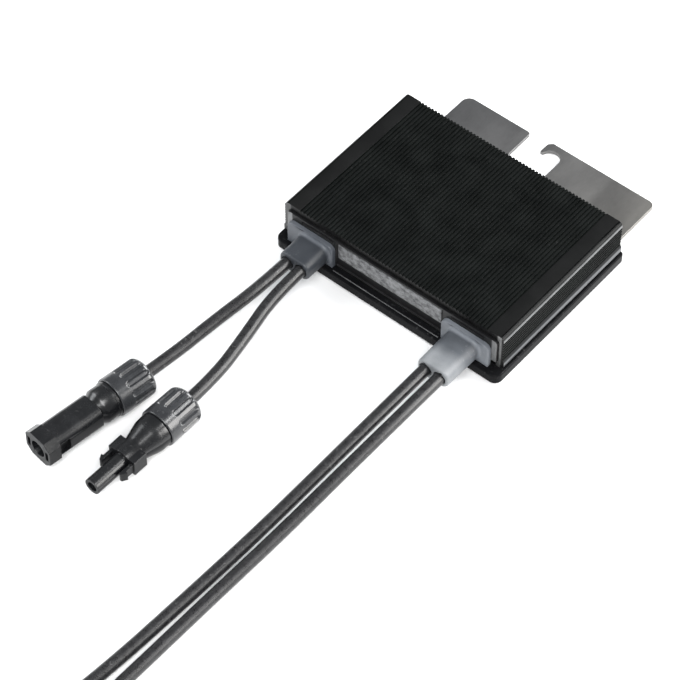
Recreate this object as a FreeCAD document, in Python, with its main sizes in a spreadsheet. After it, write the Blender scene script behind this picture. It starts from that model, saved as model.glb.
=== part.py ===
"""Power optimizer: a ribbed aluminium housing on a steel bracket, with four connector leads.

The frame is in millimetres, +Z up. The origin is on the surface that the bracket lies on, under
the middle of the unit. X runs along the cable side, +Y from the cable side to the bracket's slot.
"""
import FreeCAD, Part
import math
import os
import Sketcher

doc = FreeCAD.newDocument("power_optimizer")
sheet = doc.addObject("Spreadsheet::Sheet", "sizes")
os.makedirs("parts", exist_ok=True)


class Size:
    """A length with its value and the expression that gives it."""

    def __init__(self, value, text):
        self.value = float(value)
        self.text = text

    def joined(self, other, sign, swap=False):
        other = as_size(other)
        left, right = (other, self) if swap else (self, other)
        results = {"+": left.value + right.value, "-": left.value - right.value,
                   "*": left.value * right.value}
        value = results[sign] if sign in results else left.value / right.value
        return Size(value, f"({left.text} {sign} {right.text})")

    def __add__(self, other):
        return self.joined(other, "+")

    def __radd__(self, other):
        return self.joined(other, "+", True)

    def __sub__(self, other):
        return self.joined(other, "-")

    def __rsub__(self, other):
        return self.joined(other, "-", True)

    def __mul__(self, other):
        return self.joined(other, "*")

    def __rmul__(self, other):
        return self.joined(other, "*", True)

    def __truediv__(self, other):
        return self.joined(other, "/")

    def __neg__(self):
        return Size(0, "0").joined(self, "-")

    def __float__(self):
        return self.value


def as_size(value):
    """A plain number as a size without a cell."""
    if isinstance(value, Size):
        return value
    return Size(value, f"{float(value):.6f}")


def copies_within(room, pitch):
    """How many copies at a pitch fit in a room, the first one at its start."""
    return Size(math.floor(room.value / pitch.value) + 1, f"(floor({room.text} / {pitch.text}) + 1)")


# Overall sizes
overall_length = 151.0
bracket_width = 109.3
bracket_thick = 2.0
bracket_front_inset = 4.0
bracket_shift = 0.95
bracket_corner = 4.5
bracket_right_corner = 3.0
base_overhang = 1.6
base_thick = 5.0
base_lip = 6.0
base_rear = 1.6
base_corner = 4.0
base_edge = 0.8
base_front_screw = 14.0
bracket_front_screw = 19.5
bracket_rear_screw = 13.5
bracket_screw_side = 40.0

# Extruded cover
cover_width = 125.4
cover_depth = 87.0
cover_height = 20.8
cover_wall = 2.5
cover_edge = 2.4
inner_round = 1.2
cover_foot = 3.9
cover_flare = 0.6
foot_slope = 1.0
cover_gap = 1.7
cover_inset = 1.5
flange_inner = 6.5
flange_thick = 3.5
rib_pitch = 1.9
rib_groove = 0.95
rib_depth = 0.8
rib_band = 9.0
side_pitch = 1.75
side_groove = 0.85
side_depth = 0.5
side_margin = 1.3

# Slot in the bracket for the bolt of the mounting rail
slot_left = 15.8
slot_mouth = 10.4
slot_bolt = 9.5
slot_depth = 22.0
slot_inner_corner = 1.2
slot_tab_step = 1.4
slot_lead_in = 1.4
hook_depth = 3.75
hook_tip = 7.7
hook_wall = 1.6
hook_chamfer = 2.0

# End caps, label plate and glands
fit_gap = 0.15
cap_proud = 1.4
cap_depth = 4.0
cap_rim = 1.3
cap_recess = 0.7
cap_margin = 0.8
cap_slot = 18.0
cap_slot_high = 1.0
rear_panel_inset = 6.0
left_gland_inset = 20.5
right_gland_inset = 18.9
gland_flange_width = 26.6
gland_flange_height = 13.4
gland_flange_thick = 2.2
gland_flange_corner = 3.2
flange_shift = 3.0
boot_end = 0.8
plug_inset = 1.0
boot_width = 17.4
boot_height = 10.8
boot_corner = 4.4
boot_long = 22.4
boot_short = 14.6
label_height = 9.2
label_thick = 0.5
label_gap = 0.4
groove_wide = 1.2
groove_deep = 0.6

# Leads
lead_width = 6.0
lead_pitch = 7.7
lead_seat = 6.0
lead_rise = 0.2
lead_gap = 0.05
core_width = 3.4

# Circuit board and what it carries
board_side_gap = 2.7
board_depth = 72.0
board_thick = 1.6
board_stand = 2.6
board_gap = 1.0
spacer_width = 6.0
spacer_inset = 1.5
board_screw_high = 2.0
choke_across = -22.0
choke_along = 4.0
core_outer = 31.0
core_inner = 15.0
core_height = 9.4
wire_width = 1.6
winding_turns = 16
winding_gap = 0.1
capacitor_count = 3
capacitor_first = 12.0
capacitor_pitch = 11.0
capacitor_width = 9.0
capacitor_depth = 20.0
capacitor_height = 10.5
transistor_first = 18.0
transistor_pitch = 12.0
transistor_inset = 8.0
transistor_width = 10.0
transistor_depth = 9.0
transistor_height = 2.4
spreader_width = 76.0
spreader_depth = 10.0
thermal_pad = 0.6
thermal_pad_margin = 0.5
terminal_inset = 4.0
terminal_width = 6.4
terminal_depth = 6.0
terminal_height = 5.6

# Screws
screw_width = 3.0
screw_head = 5.6
screw_gap = 0.1
screw_sunk = 0.05
screw_short = 0.6

# Plug-in connectors, along their own axis from the nut's rear face
nut_width = 19.0
nut_length = 19.6
nut_wall = 2.2
nut_round = 3.2
nut_grooves = 12
grip_width = 2.4
grip_deep = 0.8
grip_end = 6.2
neck_width = 14.2
neck_gap = 0.1
seal_length = 4.0
seal_gap = 0.1
collar_width = 17.2
collar_length = 1.4
collar_gap = 0.3
jacket_depth = 5.0
plug_length = 60.5
pin_width = 3.6
pin_gap = 0.05

# Socket housing
shoulder_width = 16.6
shoulder_length = 5.5
shoulder_slope = 3.0
barrel_core = 12.8
barrel_width = 14.8
barrel_height = 13.2
barrel_round = 4.6
mouth_width = 16.6
mouth_height = 14.8
mouth_length = 6.4
mouth_chamfer_across = 3.7
mouth_chamfer_up = 3.4
window_length = 6.0
window_height = 6.8
latch_across = 5.1
channel_width = 1.8
channel_height = 5.4
socket_bore = 8.3
socket_depth = 22.0
socket_pin_inset = 8.0
socket_pin_tip = 0.9

# Nose housing
cone_width = 16.8
cone_start = 4.0
cone_tip = 11.6
cone_length = 9.5
block_width = 15.2
block_height = 8.4
block_sunk = 0.5
arm_across = 5.2
arm_thick = 1.6
arm_height = 5.0
arm_root = 1.0
arm_length = 7.0
arm_hook = 1.1
arm_hook_length = 2.8
arm_hook_slope = 0.2
arm_tip = 1.2
nose_width = 8.0
nose_length = 18.5
nose_bore = 5.0
nose_bore_more = 2.0
nose_pin_inset = 3.0
nose_pin_bore = 2.0
nose_pin_depth = 10.0

# Coils of the output leads
coil_inner = 25.0
coil_lift = 1.0
coil_step = 5.2
coil_shoulder = 0.6
tie_width = 9.0
tie_wall = 0.9
tie_round = 3.0

# Each number above becomes a cell of the sheet, and its name then stands for that cell
names = [name for name, value in globals().items() if type(value) in (int, float)]
for row, name in enumerate(names, 1):
    sheet.set(f"A{row}", name)
    sheet.set(f"B{row}", str(globals()[name]))
    sheet.setAlias(f"B{row}", name)
    globals()[name] = Size(globals()[name], f"sizes.{name}")
doc.recompute()

# Places that several pieces share
rear_edge = overall_length / 2
front_edge = -rear_edge
boot_face = front_edge
flange_face = boot_face + boot_long
cap_face = flange_face + gland_flange_thick
cover_front = cap_face + cap_proud
cover_rear = cover_front + cover_depth
base_top = bracket_thick + base_thick
cover_top = base_top + cover_height
inner_side = cover_width / 2 - cover_wall
inner_top = cover_top - rib_depth - cover_wall
flange_edge = cover_width / 2 - cover_inset - flange_inner
base_width = cover_width + 2 * base_overhang
board_width = 2 * (flange_edge - board_side_gap)
lead_high = base_top + gland_flange_height / 2 + lead_rise
left_gland = left_gland_inset - cover_width / 2
right_gland = cover_width / 2 - right_gland_inset
left_flange = left_gland - flange_shift
board_under = base_top + board_stand
board_top = board_under + board_thick
board_front = cap_face + cap_proud + cap_depth + board_gap
lead_radius = lead_width / 2


def bind(thing, name, size):
    """Tie one property to the driving sizes."""
    size = as_size(size)
    thing.setExpression(name, size.text)


def labelled(thing, label):
    """Give a finished sub-part the name of its node."""
    thing.Label = label
    finished.append(thing)
    return thing


finished = []


def new_body(label):
    """An empty body for one piece."""
    return labelled(doc.addObject("PartDesign::Body", label), label)


def origin_item(body, role):
    """A plane or axis of the body's own origin."""
    return [item for item in body.Origin.OriginFeatures if item.Role == role][0]


def new_sketch(body, name, role, offset=None):
    """A sketch on an origin plane, moved along the plane's normal by an offset."""
    sketch = body.newObject("Sketcher::SketchObject", name)
    sketch.AttachmentSupport = [(origin_item(body, role), "")]
    sketch.MapMode = "FlatFace"
    if offset is not None:
        bind(sketch, "AttachmentOffset.Base.z", offset)
    return sketch


def place_point(sketch, index, end, across, up):
    """Hold one point of a sketch at its distances from the origin."""
    for kind, size, axis in (("DistanceX", across, -2), ("DistanceY", up, -1)):
        size = as_size(size)
        if abs(size.value) < 1e-9:
            sketch.addConstraint(Sketcher.Constraint("PointOnObject", index, end, axis))
            continue
        number = sketch.addConstraint(Sketcher.Constraint(kind, -1, 1, index, end, size.value))
        sketch.setExpression(f"Constraints[{number}]", size.text)


def outline(sketch, points):
    """A closed outline of straight lines through points that follow the driving sizes."""
    first = sketch.GeometryCount
    corners = [FreeCAD.Vector(float(as_size(a)), float(as_size(b)), 0) for a, b in points]
    count = len(corners)
    for i in range(count):
        sketch.addGeometry(Part.LineSegment(corners[i], corners[(i + 1) % count]), False)
    for i in range(count):
        after = first + (i + 1) % count
        sketch.addConstraint(Sketcher.Constraint("Coincident", first + i, 2, after, 1))
    for i, (across, up) in enumerate(points):
        place_point(sketch, first + i, 1, across, up)


def rectangle(sketch, left, right, low, high):
    """A closed rectangle between four sizes."""
    outline(sketch, [(left, low), (right, low), (right, high), (left, high)])


def circle(sketch, across, up, width):
    """A circle of a width about a point."""
    index = sketch.GeometryCount
    width = as_size(width)
    middle = FreeCAD.Vector(float(as_size(across)), float(as_size(up)), 0)
    sketch.addGeometry(Part.Circle(middle, FreeCAD.Vector(0, 0, 1), width.value / 2), False)
    number = sketch.addConstraint(Sketcher.Constraint("Radius", index, width.value / 2))
    sketch.setExpression(f"Constraints[{number}]", (width / 2).text)
    place_point(sketch, index, 3, across, up)


def pad(body, sketch, length, name, back=False):
    """Material raised from a sketch."""
    feature = body.newObject("PartDesign::Pad", name)
    feature.Profile = sketch
    feature.Reversed = back
    bind(feature, "Length", length)
    return feature


def pocket(body, sketch, length, name, back=False):
    """Material cut away from a sketch, checked to have cut something."""
    doc.recompute()
    before = body.Shape.Volume
    feature = body.newObject("PartDesign::Pocket", name)
    feature.Profile = sketch
    feature.Reversed = back
    bind(feature, "Length", length)
    doc.recompute()
    if body.Shape.Volume > before - 0.01:
        raise ValueError(f"{body.Label}: {name} cuts nothing")
    return feature


def pattern(body, feature, sketch, length, count, name):
    """Copies of a cut along the horizontal axis of its sketch."""
    copies = body.newObject("PartDesign::LinearPattern", name)
    copies.Originals = [feature]
    copies.Direction = (sketch, ["H_Axis"])
    bind(copies, "Length", length)
    bind(copies, "Occurrences", count)
    body.Tip = copies
    doc.recompute()
    return copies


def soften(body, test, radius, name, kind="PartDesign::Fillet"):
    """Round or chamfer the edges of the body that pass a test."""
    doc.recompute()
    base = body.Tip
    names = [f"Edge{i + 1}" for i, edge in enumerate(base.Shape.Edges) if test(edge)]
    if not names:
        raise ValueError(f"{body.Label}: {name} has no edges")
    feature = body.newObject(kind, name)
    feature.Base = (base, names)
    bind(feature, "Radius" if kind.endswith("Fillet") else "Size", radius)
    body.Tip = feature
    doc.recompute()
    if not feature.isValid():
        raise ValueError(f"{body.Label}: {name} failed")
    return feature


def runs_along(edge, axis):
    """True for a straight edge parallel to x, y or z."""
    if edge.Curve.TypeId != "Part::GeomLine":
        return False
    return abs(getattr(edge.tangentAt(edge.FirstParameter), axis)) > 0.999


def near(value, size, room=0.05):
    """True where a coordinate lies at a size."""
    return abs(value - float(as_size(size))) < room


def primitive(kind, name, sizes, place, turn=None):
    """A simple solid whose sizes and place follow the driving sizes."""
    thing = doc.addObject(kind, name)
    for key, size in sizes.items():
        bind(thing, key, size)
    if turn is not None:
        thing.Placement = FreeCAD.Placement(FreeCAD.Vector(), FreeCAD.Rotation(*turn))
    for key, size in zip("xyz", place):
        bind(thing, f"Placement.Base.{key}", size)
    return thing


def box(name, x_range, y_range, z_range):
    """A block between pairs of sizes."""
    sizes = {"Length": as_size(x_range[1]) - x_range[0], "Width": as_size(y_range[1]) - y_range[0],
             "Height": as_size(z_range[1]) - z_range[0]}
    return primitive("Part::Box", name, sizes, (x_range[0], y_range[0], z_range[0]))


def centred_box(name, middle, spans, low, high):
    """A block about a point in plan, between two heights."""
    half_x = as_size(spans[0]) / 2
    half_y = as_size(spans[1]) / 2
    x, y = as_size(middle[0]), as_size(middle[1])
    return box(name, (x - half_x, x + half_x), (y - half_y, y + half_y), (low, high))


def standing_rod(name, middle, width, low, high):
    """A round rod that stands on a height."""
    sizes = {"Radius": as_size(width) / 2, "Height": as_size(high) - low}
    return primitive("Part::Cylinder", name, sizes, (middle[0], middle[1], low))


def hexagon(name, middle, width, low, high):
    """A six-sided prism that stands on a height, with its width across the corners."""
    sizes = {"Circumradius": as_size(width) / 2, "Height": as_size(high) - low, "Polygon": 6}
    return primitive("Part::Prism", name, sizes, (middle[0], middle[1], low))


def lying_rod(name, start, width, length):
    """A round rod that runs along +Y from its start."""
    sizes = {"Radius": as_size(width) / 2, "Height": length}
    return primitive("Part::Cylinder", name, sizes, start, (0, 0, -90))


def group(label, pieces):
    """Like pieces that share one node, as separate solids."""
    compound = doc.addObject("Part::Compound", label)
    compound.Links = pieces
    return labelled(compound, label)


def fused(label, pieces, keep=True):
    """Simple solids joined into one."""
    joined = doc.addObject("Part::MultiFuse", label)
    joined.Shapes = pieces
    joined.Refine = True
    return labelled(joined, label) if keep else joined


def removed(label, base, tool, keep=True):
    """One solid cut by another."""
    rest = doc.addObject("Part::Cut", label)
    rest.Base = base
    rest.Tool = tool
    return labelled(rest, label) if keep else rest


# Mounting bracket: a flat stainless plate under the base, with a hooked slot at its free end
def mounting_bracket():
    body = new_body("mounting_bracket")
    left_side = bracket_shift - bracket_width / 2
    right_side = bracket_shift + bracket_width / 2
    front = cover_front + bracket_front_inset
    left = -slot_left
    mouth = left + slot_mouth
    right = mouth + hook_wall + slot_bolt
    bottom = rear_edge - slot_depth
    tab_end = rear_edge - slot_tab_step
    tip = rear_edge - hook_tip
    middle = right - slot_bolt / 2
    level = rear_edge - hook_depth - slot_bolt / 2
    sketch = new_sketch(body, "bracket_outline", "XY_Plane")
    outline(sketch, [
        (left_side, front), (right_side, front), (right_side, rear_edge), (mouth + hook_chamfer, rear_edge),
        (mouth, rear_edge - hook_chamfer), (mouth, tip), (middle, tip), (middle, level), (right, level),
        (right, bottom), (left, bottom), (left, tab_end), (left_side, tab_end)])
    pad(body, sketch, bracket_thick, "bracket_plate")
    left_corners = lambda e: runs_along(e, "z") and near(e.CenterOfMass.x, left_side)
    soften(body, left_corners, bracket_corner, "left_corners")
    right_corners = lambda e: runs_along(e, "z") and near(e.CenterOfMass.x, right_side)
    soften(body, right_corners, bracket_right_corner, "right_corners")
    deep_corner = lambda e: (runs_along(e, "z") and near(e.CenterOfMass.y, bottom)
                             and near(e.CenterOfMass.x, left))
    soften(body, deep_corner, slot_bolt / 2, "slot_corner")
    inner_corner = lambda e: (runs_along(e, "z") and near(e.CenterOfMass.y, bottom)
                              and near(e.CenterOfMass.x, right))
    soften(body, inner_corner, slot_inner_corner, "slot_inner_corner")
    lead_in = lambda e: (runs_along(e, "z") and near(e.CenterOfMass.y, tab_end)
                         and near(e.CenterOfMass.x, left))
    soften(body, lead_in, slot_lead_in, "slot_lead_in")
    hook = new_sketch(body, "hook_outline", "XY_Plane")
    circle(hook, middle, level, slot_bolt)
    pocket(body, hook, bracket_thick, "hook_cut", back=True)
    holes = new_sketch(body, "bracket_holes", "XY_Plane")
    for x, y in bracket_screw_places:
        circle(holes, x, y, screw_width + 2 * screw_gap)
    pocket(body, holes, bracket_thick, "bracket_holes_cut", back=True)
    rims = lambda e: (e.Curve.TypeId == "Part::GeomCircle" and near(e.CenterOfMass.z, 0)
                      and near(e.Curve.Radius, screw_width / 2 + screw_gap))
    soften(body, rims, (screw_head - screw_width) / 2, "countersinks", "PartDesign::Chamfer")


bracket_screw_places = [(side * bracket_screw_side, y) for side in (-1, 1)
                        for y in (cover_front + bracket_front_screw, cover_rear - bracket_rear_screw)]
base_screw_places = [(side * (cover_width / 2 - cover_inset - flange_inner / 2), y)
                     for side in (-1, 1) for y in (cover_front + base_front_screw, cover_rear - base_front_screw)]


# Base plate: a cast aluminium tray that closes the cover from below, with a lip at the front
def base_plate():
    body = new_body("base_plate")
    half = base_width / 2
    front = cover_front - base_lip
    rear = cover_rear + base_rear
    sketch = new_sketch(body, "base_outline", "XY_Plane", bracket_thick)
    rectangle(sketch, -half, half, front, rear)
    pad(body, sketch, base_thick, "base_slab")
    front_corner = lambda e: runs_along(e, "z") and near(e.CenterOfMass.y, front)
    soften(body, front_corner, base_corner, "front_corners")
    rear_corner = lambda e: runs_along(e, "z") and near(e.CenterOfMass.y, rear)
    soften(body, rear_corner, base_corner / 2, "rear_corners")
    top_edge = lambda e: near(e.CenterOfMass.z, base_top) and e.BoundBox.ZLength < 0.01
    soften(body, top_edge, base_edge, "top_edge")
    bead = new_sketch(body, "drip_groove", "XY_Plane", base_top)
    rectangle(bead, left_flange + gland_flange_width / 2 + cap_margin,
              right_gland - gland_flange_width / 2 - cap_margin,
              flange_face - label_gap - groove_wide, flange_face - label_gap)
    pocket(body, bead, groove_deep, "drip_groove_cut")
    holes = new_sketch(body, "base_holes", "XY_Plane", bracket_thick)
    for x, y in bracket_screw_places + base_screw_places:
        circle(holes, x, y, screw_width + 2 * screw_gap)
    pocket(body, holes, base_thick, "base_holes_cut", back=True)
    rims = lambda e: (e.Curve.TypeId == "Part::GeomCircle" and near(e.CenterOfMass.z, bracket_thick)
                      and near(e.Curve.Radius, screw_width / 2 + screw_gap)
                      and near(abs(e.CenterOfMass.x), base_screw_places[2][0], 0.2))
    soften(body, rims, (screw_head - screw_width) / 2, "countersinks", "PartDesign::Chamfer")


# Housing cover: one aluminium extrusion, ribbed along its top and its sides
def housing_cover():
    body = new_body("housing_cover")
    half = cover_width / 2
    foot_low = base_top + cover_gap
    foot_top = foot_low + cover_foot
    foot_side = half + cover_flare
    leg = half - cover_inset
    sketch = new_sketch(body, "cover_section", "XZ_Plane", -cover_rear)
    right = [(half, cover_top), (half, foot_top), (foot_side, foot_top - foot_slope), (foot_side, foot_low),
             (leg, foot_low), (leg, base_top), (flange_edge, base_top), (flange_edge, base_top + flange_thick),
             (inner_side, base_top + flange_thick), (inner_side, inner_top)]
    left = [(-x, z) for x, z in reversed(right)]
    outline(sketch, right + left)
    pad(body, sketch, cover_depth, "cover_shell")
    edge = lambda e: (runs_along(e, "y") and near(e.CenterOfMass.z, cover_top)
                      and near(abs(e.CenterOfMass.x), half))
    soften(body, edge, cover_edge, "top_edges")
    inner = lambda e: (runs_along(e, "y") and near(e.CenterOfMass.z, inner_top)
                       and near(abs(e.CenterOfMass.x), inner_side))
    soften(body, inner, inner_round, "inner_edges")

    rib_grooves = copies_within(cover_width - 2 * rib_band, rib_pitch)
    span = rib_pitch * (rib_grooves - 1)
    top = new_sketch(body, "rib_section", "XZ_Plane", -cover_rear)
    start = -span / 2
    outline(top, [(start - rib_groove / 2, cover_top), (start - rib_groove / 4, cover_top - rib_depth),
                  (start + rib_groove / 4, cover_top - rib_depth), (start + rib_groove / 2, cover_top)])
    cut = pocket(body, top, cover_depth, "rib_groove_cut", back=True)
    before = body.Shape.Volume
    pattern(body, cut, top, span, rib_grooves, "ribs")
    if body.Shape.Volume > before - 1.0:
        raise ValueError("the ribs cut nothing")

    low = foot_top + side_margin
    side_grooves = copies_within(cover_top - cover_edge - side_groove - low, side_pitch)
    for side, name in ((-1, "left"), (1, "right")):
        flank = new_sketch(body, f"{name}_side_section", "XZ_Plane", -cover_rear)
        for number in range(int(side_grooves.value)):
            centre = low + side_pitch * number
            outline(flank, [(side * half, centre - side_groove / 2),
                            (side * (half - side_depth), centre - side_groove / 4),
                            (side * (half - side_depth), centre + side_groove / 4),
                            (side * half, centre + side_groove / 2)])
        pocket(body, flank, cover_depth, f"{name}_side_cut", back=True)

    holes = new_sketch(body, "screw_holes", "XY_Plane", base_top)
    for x, y in base_screw_places:
        circle(holes, x, y, screw_width + 2 * screw_gap)
    pocket(body, holes, flange_thick, "screw_holes_cut", back=True)


def cap_outline(sketch, grow=0):
    """The cover's inner section less a clearance, stepped over the two inner flanges."""
    side = inner_side - fit_gap + grow
    step = flange_edge - fit_gap + grow
    low = base_top
    ledge = base_top + flange_thick + fit_gap - grow
    top = inner_top - fit_gap + grow
    outline(sketch, [(step, low), (step, ledge), (side, ledge), (side, top),
                     (-side, top), (-side, ledge), (-step, ledge), (-step, low)])


# Front cap: a moulded frame with a proud rim, a recessed face and the seats of the two glands
def front_cap():
    body = new_body("front_cap")
    sketch = new_sketch(body, "cap_section", "XZ_Plane", -(cover_front + cap_depth))
    cap_outline(sketch)
    pad(body, sketch, cap_depth + cap_proud, "cap_block")
    side = inner_side - fit_gap
    top = inner_top - fit_gap
    corner = lambda e: (runs_along(e, "y") and near(abs(e.CenterOfMass.x), side)
                        and near(e.CenterOfMass.z, top))
    soften(body, corner, inner_round, "cap_corners")
    recess = new_sketch(body, "recess_section", "XZ_Plane", -cap_face)
    left = left_flange + gland_flange_width / 2 + cap_margin
    right = right_gland - gland_flange_width / 2 - cap_margin
    rectangle(recess, left, right, base_top + cap_rim, top - cap_rim)
    pocket(body, recess, cap_recess, "recess_cut")
    for name, centre in (("left", left_gland), ("right", right_gland)):
        slot = new_sketch(body, f"{name}_slot_section", "XZ_Plane", -cap_face)
        high = base_top + gland_flange_height + cap_slot_high
        rectangle(slot, centre - cap_slot / 2, centre + cap_slot / 2, high, top - cap_rim)
        pocket(body, slot, cap_recess, f"{name}_slot_cut")
        seat = new_sketch(body, f"{name}_gland_seat", "XZ_Plane", -cap_face)
        wide = boot_width / 2 - plug_inset + fit_gap
        tall = boot_height / 2 - plug_inset + fit_gap
        rectangle(seat, centre - wide, centre + wide, lead_high - tall, lead_high + tall)
        pocket(body, seat, cap_depth + cap_proud, f"{name}_gland_hole")


# Rear cap: the plain moulded cover of the other end
def rear_cap():
    body = new_body("rear_cap")
    sketch = new_sketch(body, "cap_section", "XZ_Plane", -(cover_rear + cap_proud / 2))
    cap_outline(sketch)
    pad(body, sketch, cap_depth + cap_proud / 2, "cap_block")
    corner = lambda e: (runs_along(e, "y") and near(abs(e.CenterOfMass.x), inner_side - fit_gap)
                        and near(e.CenterOfMass.z, inner_top - fit_gap))
    soften(body, corner, inner_round, "cap_corners")
    panel = new_sketch(body, "panel_section", "XZ_Plane", -(cover_rear + cap_proud / 2))
    side = inner_side - fit_gap - cap_rim
    rectangle(panel, rear_panel_inset - side, side - rear_panel_inset,
              base_top + cap_rim, inner_top - fit_gap - cap_rim)
    pocket(body, panel, cap_recess, "panel_cut", back=True)


# Label plate: a bare aluminium strip stuck in the front recess
def label_plate():
    left = left_flange + gland_flange_width / 2 + 2 * cap_margin
    right = right_gland - gland_flange_width / 2 - 2 * cap_margin
    top = inner_top - fit_gap - cap_rim - label_gap
    back = cap_face + cap_recess
    plate = box("label_plate", (left, right), (back - label_thick, back), (top - label_height, top))
    labelled(plate, "label_plate")


# Cable glands: rubber mouldings with a flange, a boot round two leads and a plug through the cap
def cable_gland(label, centre, flange_middle, boot_length):
    body = new_body(label)
    half = gland_flange_width / 2
    top = base_top + gland_flange_height
    sketch = new_sketch(body, "flange_section", "XZ_Plane", -cap_face)
    rectangle(sketch, flange_middle - half, flange_middle + half, base_top, top)
    pad(body, sketch, gland_flange_thick, "flange")
    upper = lambda e: runs_along(e, "y") and near(e.CenterOfMass.z, top)
    soften(body, upper, gland_flange_corner, "flange_corners")
    boot = new_sketch(body, "boot_section", "XZ_Plane", -flange_face)
    rectangle(boot, centre - boot_width / 2, centre + boot_width / 2,
              lead_high - boot_height / 2, lead_high + boot_height / 2)
    pad(body, boot, boot_length, "boot")
    long_edge = lambda e: (runs_along(e, "y") and near(abs(e.CenterOfMass.x - float(centre)), boot_width / 2)
                           and near(abs(e.CenterOfMass.z - float(lead_high)), boot_height / 2))
    soften(body, long_edge, boot_corner, "boot_edges")
    end = float(flange_face - boot_length)
    rim = lambda e: near(e.CenterOfMass.y, end, 0.01) and e.BoundBox.YLength < 0.01
    soften(body, rim, boot_end, "boot_end")
    plug = new_sketch(body, "plug_section", "XZ_Plane", -cap_face)
    wide = boot_width / 2 - plug_inset
    tall = boot_height / 2 - plug_inset
    rectangle(plug, centre - wide, centre + wide, lead_high - tall, lead_high + tall)
    pad(body, plug, cap_proud + cap_depth, "plug", back=True)
    seats = new_sketch(body, "lead_seats", "XZ_Plane", -(flange_face - boot_length))
    for side in (-1, 1):
        circle(seats, centre + side * lead_pitch / 2, lead_high, lead_width)
    pocket(body, seats, lead_seat, "lead_seats_cut")


mounting_bracket()
base_plate()
housing_cover()
front_cap()
rear_cap()
label_plate()
cable_gland("input_gland", left_gland, left_flange, boot_short)
cable_gland("output_gland", right_gland, right_gland, boot_long)


# Screws: countersunk heads flush with the underside they enter
def countersunk_screws(label, places, low, length):
    screws = []
    cone = (screw_head - screw_width) / 2 - screw_gap
    for number, (x, y) in enumerate(places):
        head = primitive("Part::Cone", f"{label}_head_{number}",
                         {"Radius1": screw_head / 2 - screw_gap, "Radius2": screw_width / 2, "Height": cone},
                         (x, y, low))
        shank = standing_rod(f"{label}_shank_{number}", (x, y), screw_width, low, as_size(low) + length)
        screws.append(fused(f"{label}_{number}", [head, shank], keep=False))
    group(label, screws)


countersunk_screws("bracket_screws", bracket_screw_places, screw_sunk,
                   bracket_thick + base_thick - screw_short)
countersunk_screws("base_screws", base_screw_places, bracket_thick + screw_sunk,
                   base_thick + flange_thick - screw_short)


# Circuit board on spacers, with its coil, capacitors, transistors and lead terminals
def circuit_parts():
    front = board_front
    rear = front + board_depth
    half = board_width / 2
    board = box("circuit_board", (-half, half), (front, rear), (board_under, board_top))
    labelled(board, "circuit_board")
    inset = spacer_width / 2 + spacer_inset
    terminals_front = front + terminal_inset
    terminals_rear = terminals_front + terminal_depth
    corners = [(side * (half - inset), y) for side in (-1, 1) for y in (terminals_rear + inset, rear - inset)]
    group("board_spacers", [hexagon(f"spacer_{i}", place, spacer_width, base_top, board_under)
                            for i, place in enumerate(corners)])
    group("board_screws", [hexagon(f"board_screw_{i}", place, screw_head, board_top, board_top + board_screw_high)
                           for i, place in enumerate(corners)])

    core_low = board_top + wire_width
    core_high = core_low + core_height
    outer = standing_rod("core_outer", (choke_across, choke_y), core_outer, core_low, core_high)
    hole = standing_rod("core_hole", (choke_across, choke_y), core_inner, core_low, core_high)
    removed("inductor_core", outer, hole)

    caps = []
    for i in range(int(capacitor_count.value)):
        middle = (capacitor_first + i * capacitor_pitch, choke_y)
        caps.append(centred_box(f"capacitor_{i}", middle, (capacitor_width, capacitor_depth),
                                board_top, board_top + capacitor_height))
    group("film_capacitors", caps)

    chips = []
    chips_y = rear - transistor_inset
    pad_low = board_top + transistor_height
    for side in (-1, 1):
        for x in (transistor_first, transistor_first + transistor_pitch):
            chips.append(centred_box(f"transistor_{len(chips)}", (side * x, chips_y),
                                     (transistor_width, transistor_depth), board_top, pad_low))
    group("power_transistors", chips)
    spreader_low = pad_low + thermal_pad
    spreader_top = inner_top - thermal_pad
    spreader = centred_box("heat_spreader", (0, chips_y), (spreader_width, spreader_depth), spreader_low,
                           spreader_top)
    labelled(spreader, "heat_spreader")
    pad_size = (spreader_width - 2 * thermal_pad_margin, spreader_depth - 2 * thermal_pad_margin)
    group("thermal_pads", [centred_box("pad_low", (0, chips_y), pad_size, pad_low, spreader_low),
                           centred_box("pad_high", (0, chips_y), pad_size, spreader_top, inner_top)])

    blocks, cores = [], []
    core_start = cap_face + cap_proud + cap_depth
    for centre in (left_gland, right_gland):
        for side in (-1, 1):
            x = centre + side * lead_pitch / 2
            blocks.append(box(f"terminal_{len(blocks)}", (x - terminal_width / 2, x + terminal_width / 2),
                              (terminals_front, terminals_rear), (board_top, board_top + terminal_height)))
            cores.append(lying_rod(f"inner_lead_{len(cores)}", (x, core_start, board_top + terminal_height / 2),
                                   core_width, terminals_front - core_start))
    group("terminal_blocks", blocks)
    group("inner_leads", cores)


choke_y = board_front + board_depth / 2 + choke_along
circuit_parts()


# Inductor winding: enamelled copper turns laid side by side round the ferrite ring
def inductor_winding():
    wire = wire_width.value
    low = board_top.value + wire
    high = low + core_height.value
    near_side = core_inner.value / 2 - winding_gap.value
    far_side = core_outer.value / 2 + winding_gap.value
    count = int(winding_turns.value)
    shapes = []
    for number in range(count):
        outer = Part.makeBox(far_side - near_side + 2 * wire, wire, high - low + 2 * wire)
        outer.translate(FreeCAD.Vector(near_side - wire, -wire / 2, low - wire))
        inner = Part.makeBox(far_side - near_side, wire, high - low)
        inner.translate(FreeCAD.Vector(near_side, -wire / 2, low))
        turn = outer.cut(inner)
        turn.rotate(FreeCAD.Vector(), FreeCAD.Vector(0, 0, 1), 360.0 * number / count)
        turn.translate(FreeCAD.Vector(choke_across.value, choke_y.value, 0))
        shapes.append(turn)
    winding = doc.addObject("Part::Feature", "inductor_winding")
    winding.Shape = Part.Compound(shapes)
    labelled(winding, "inductor_winding")


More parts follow.
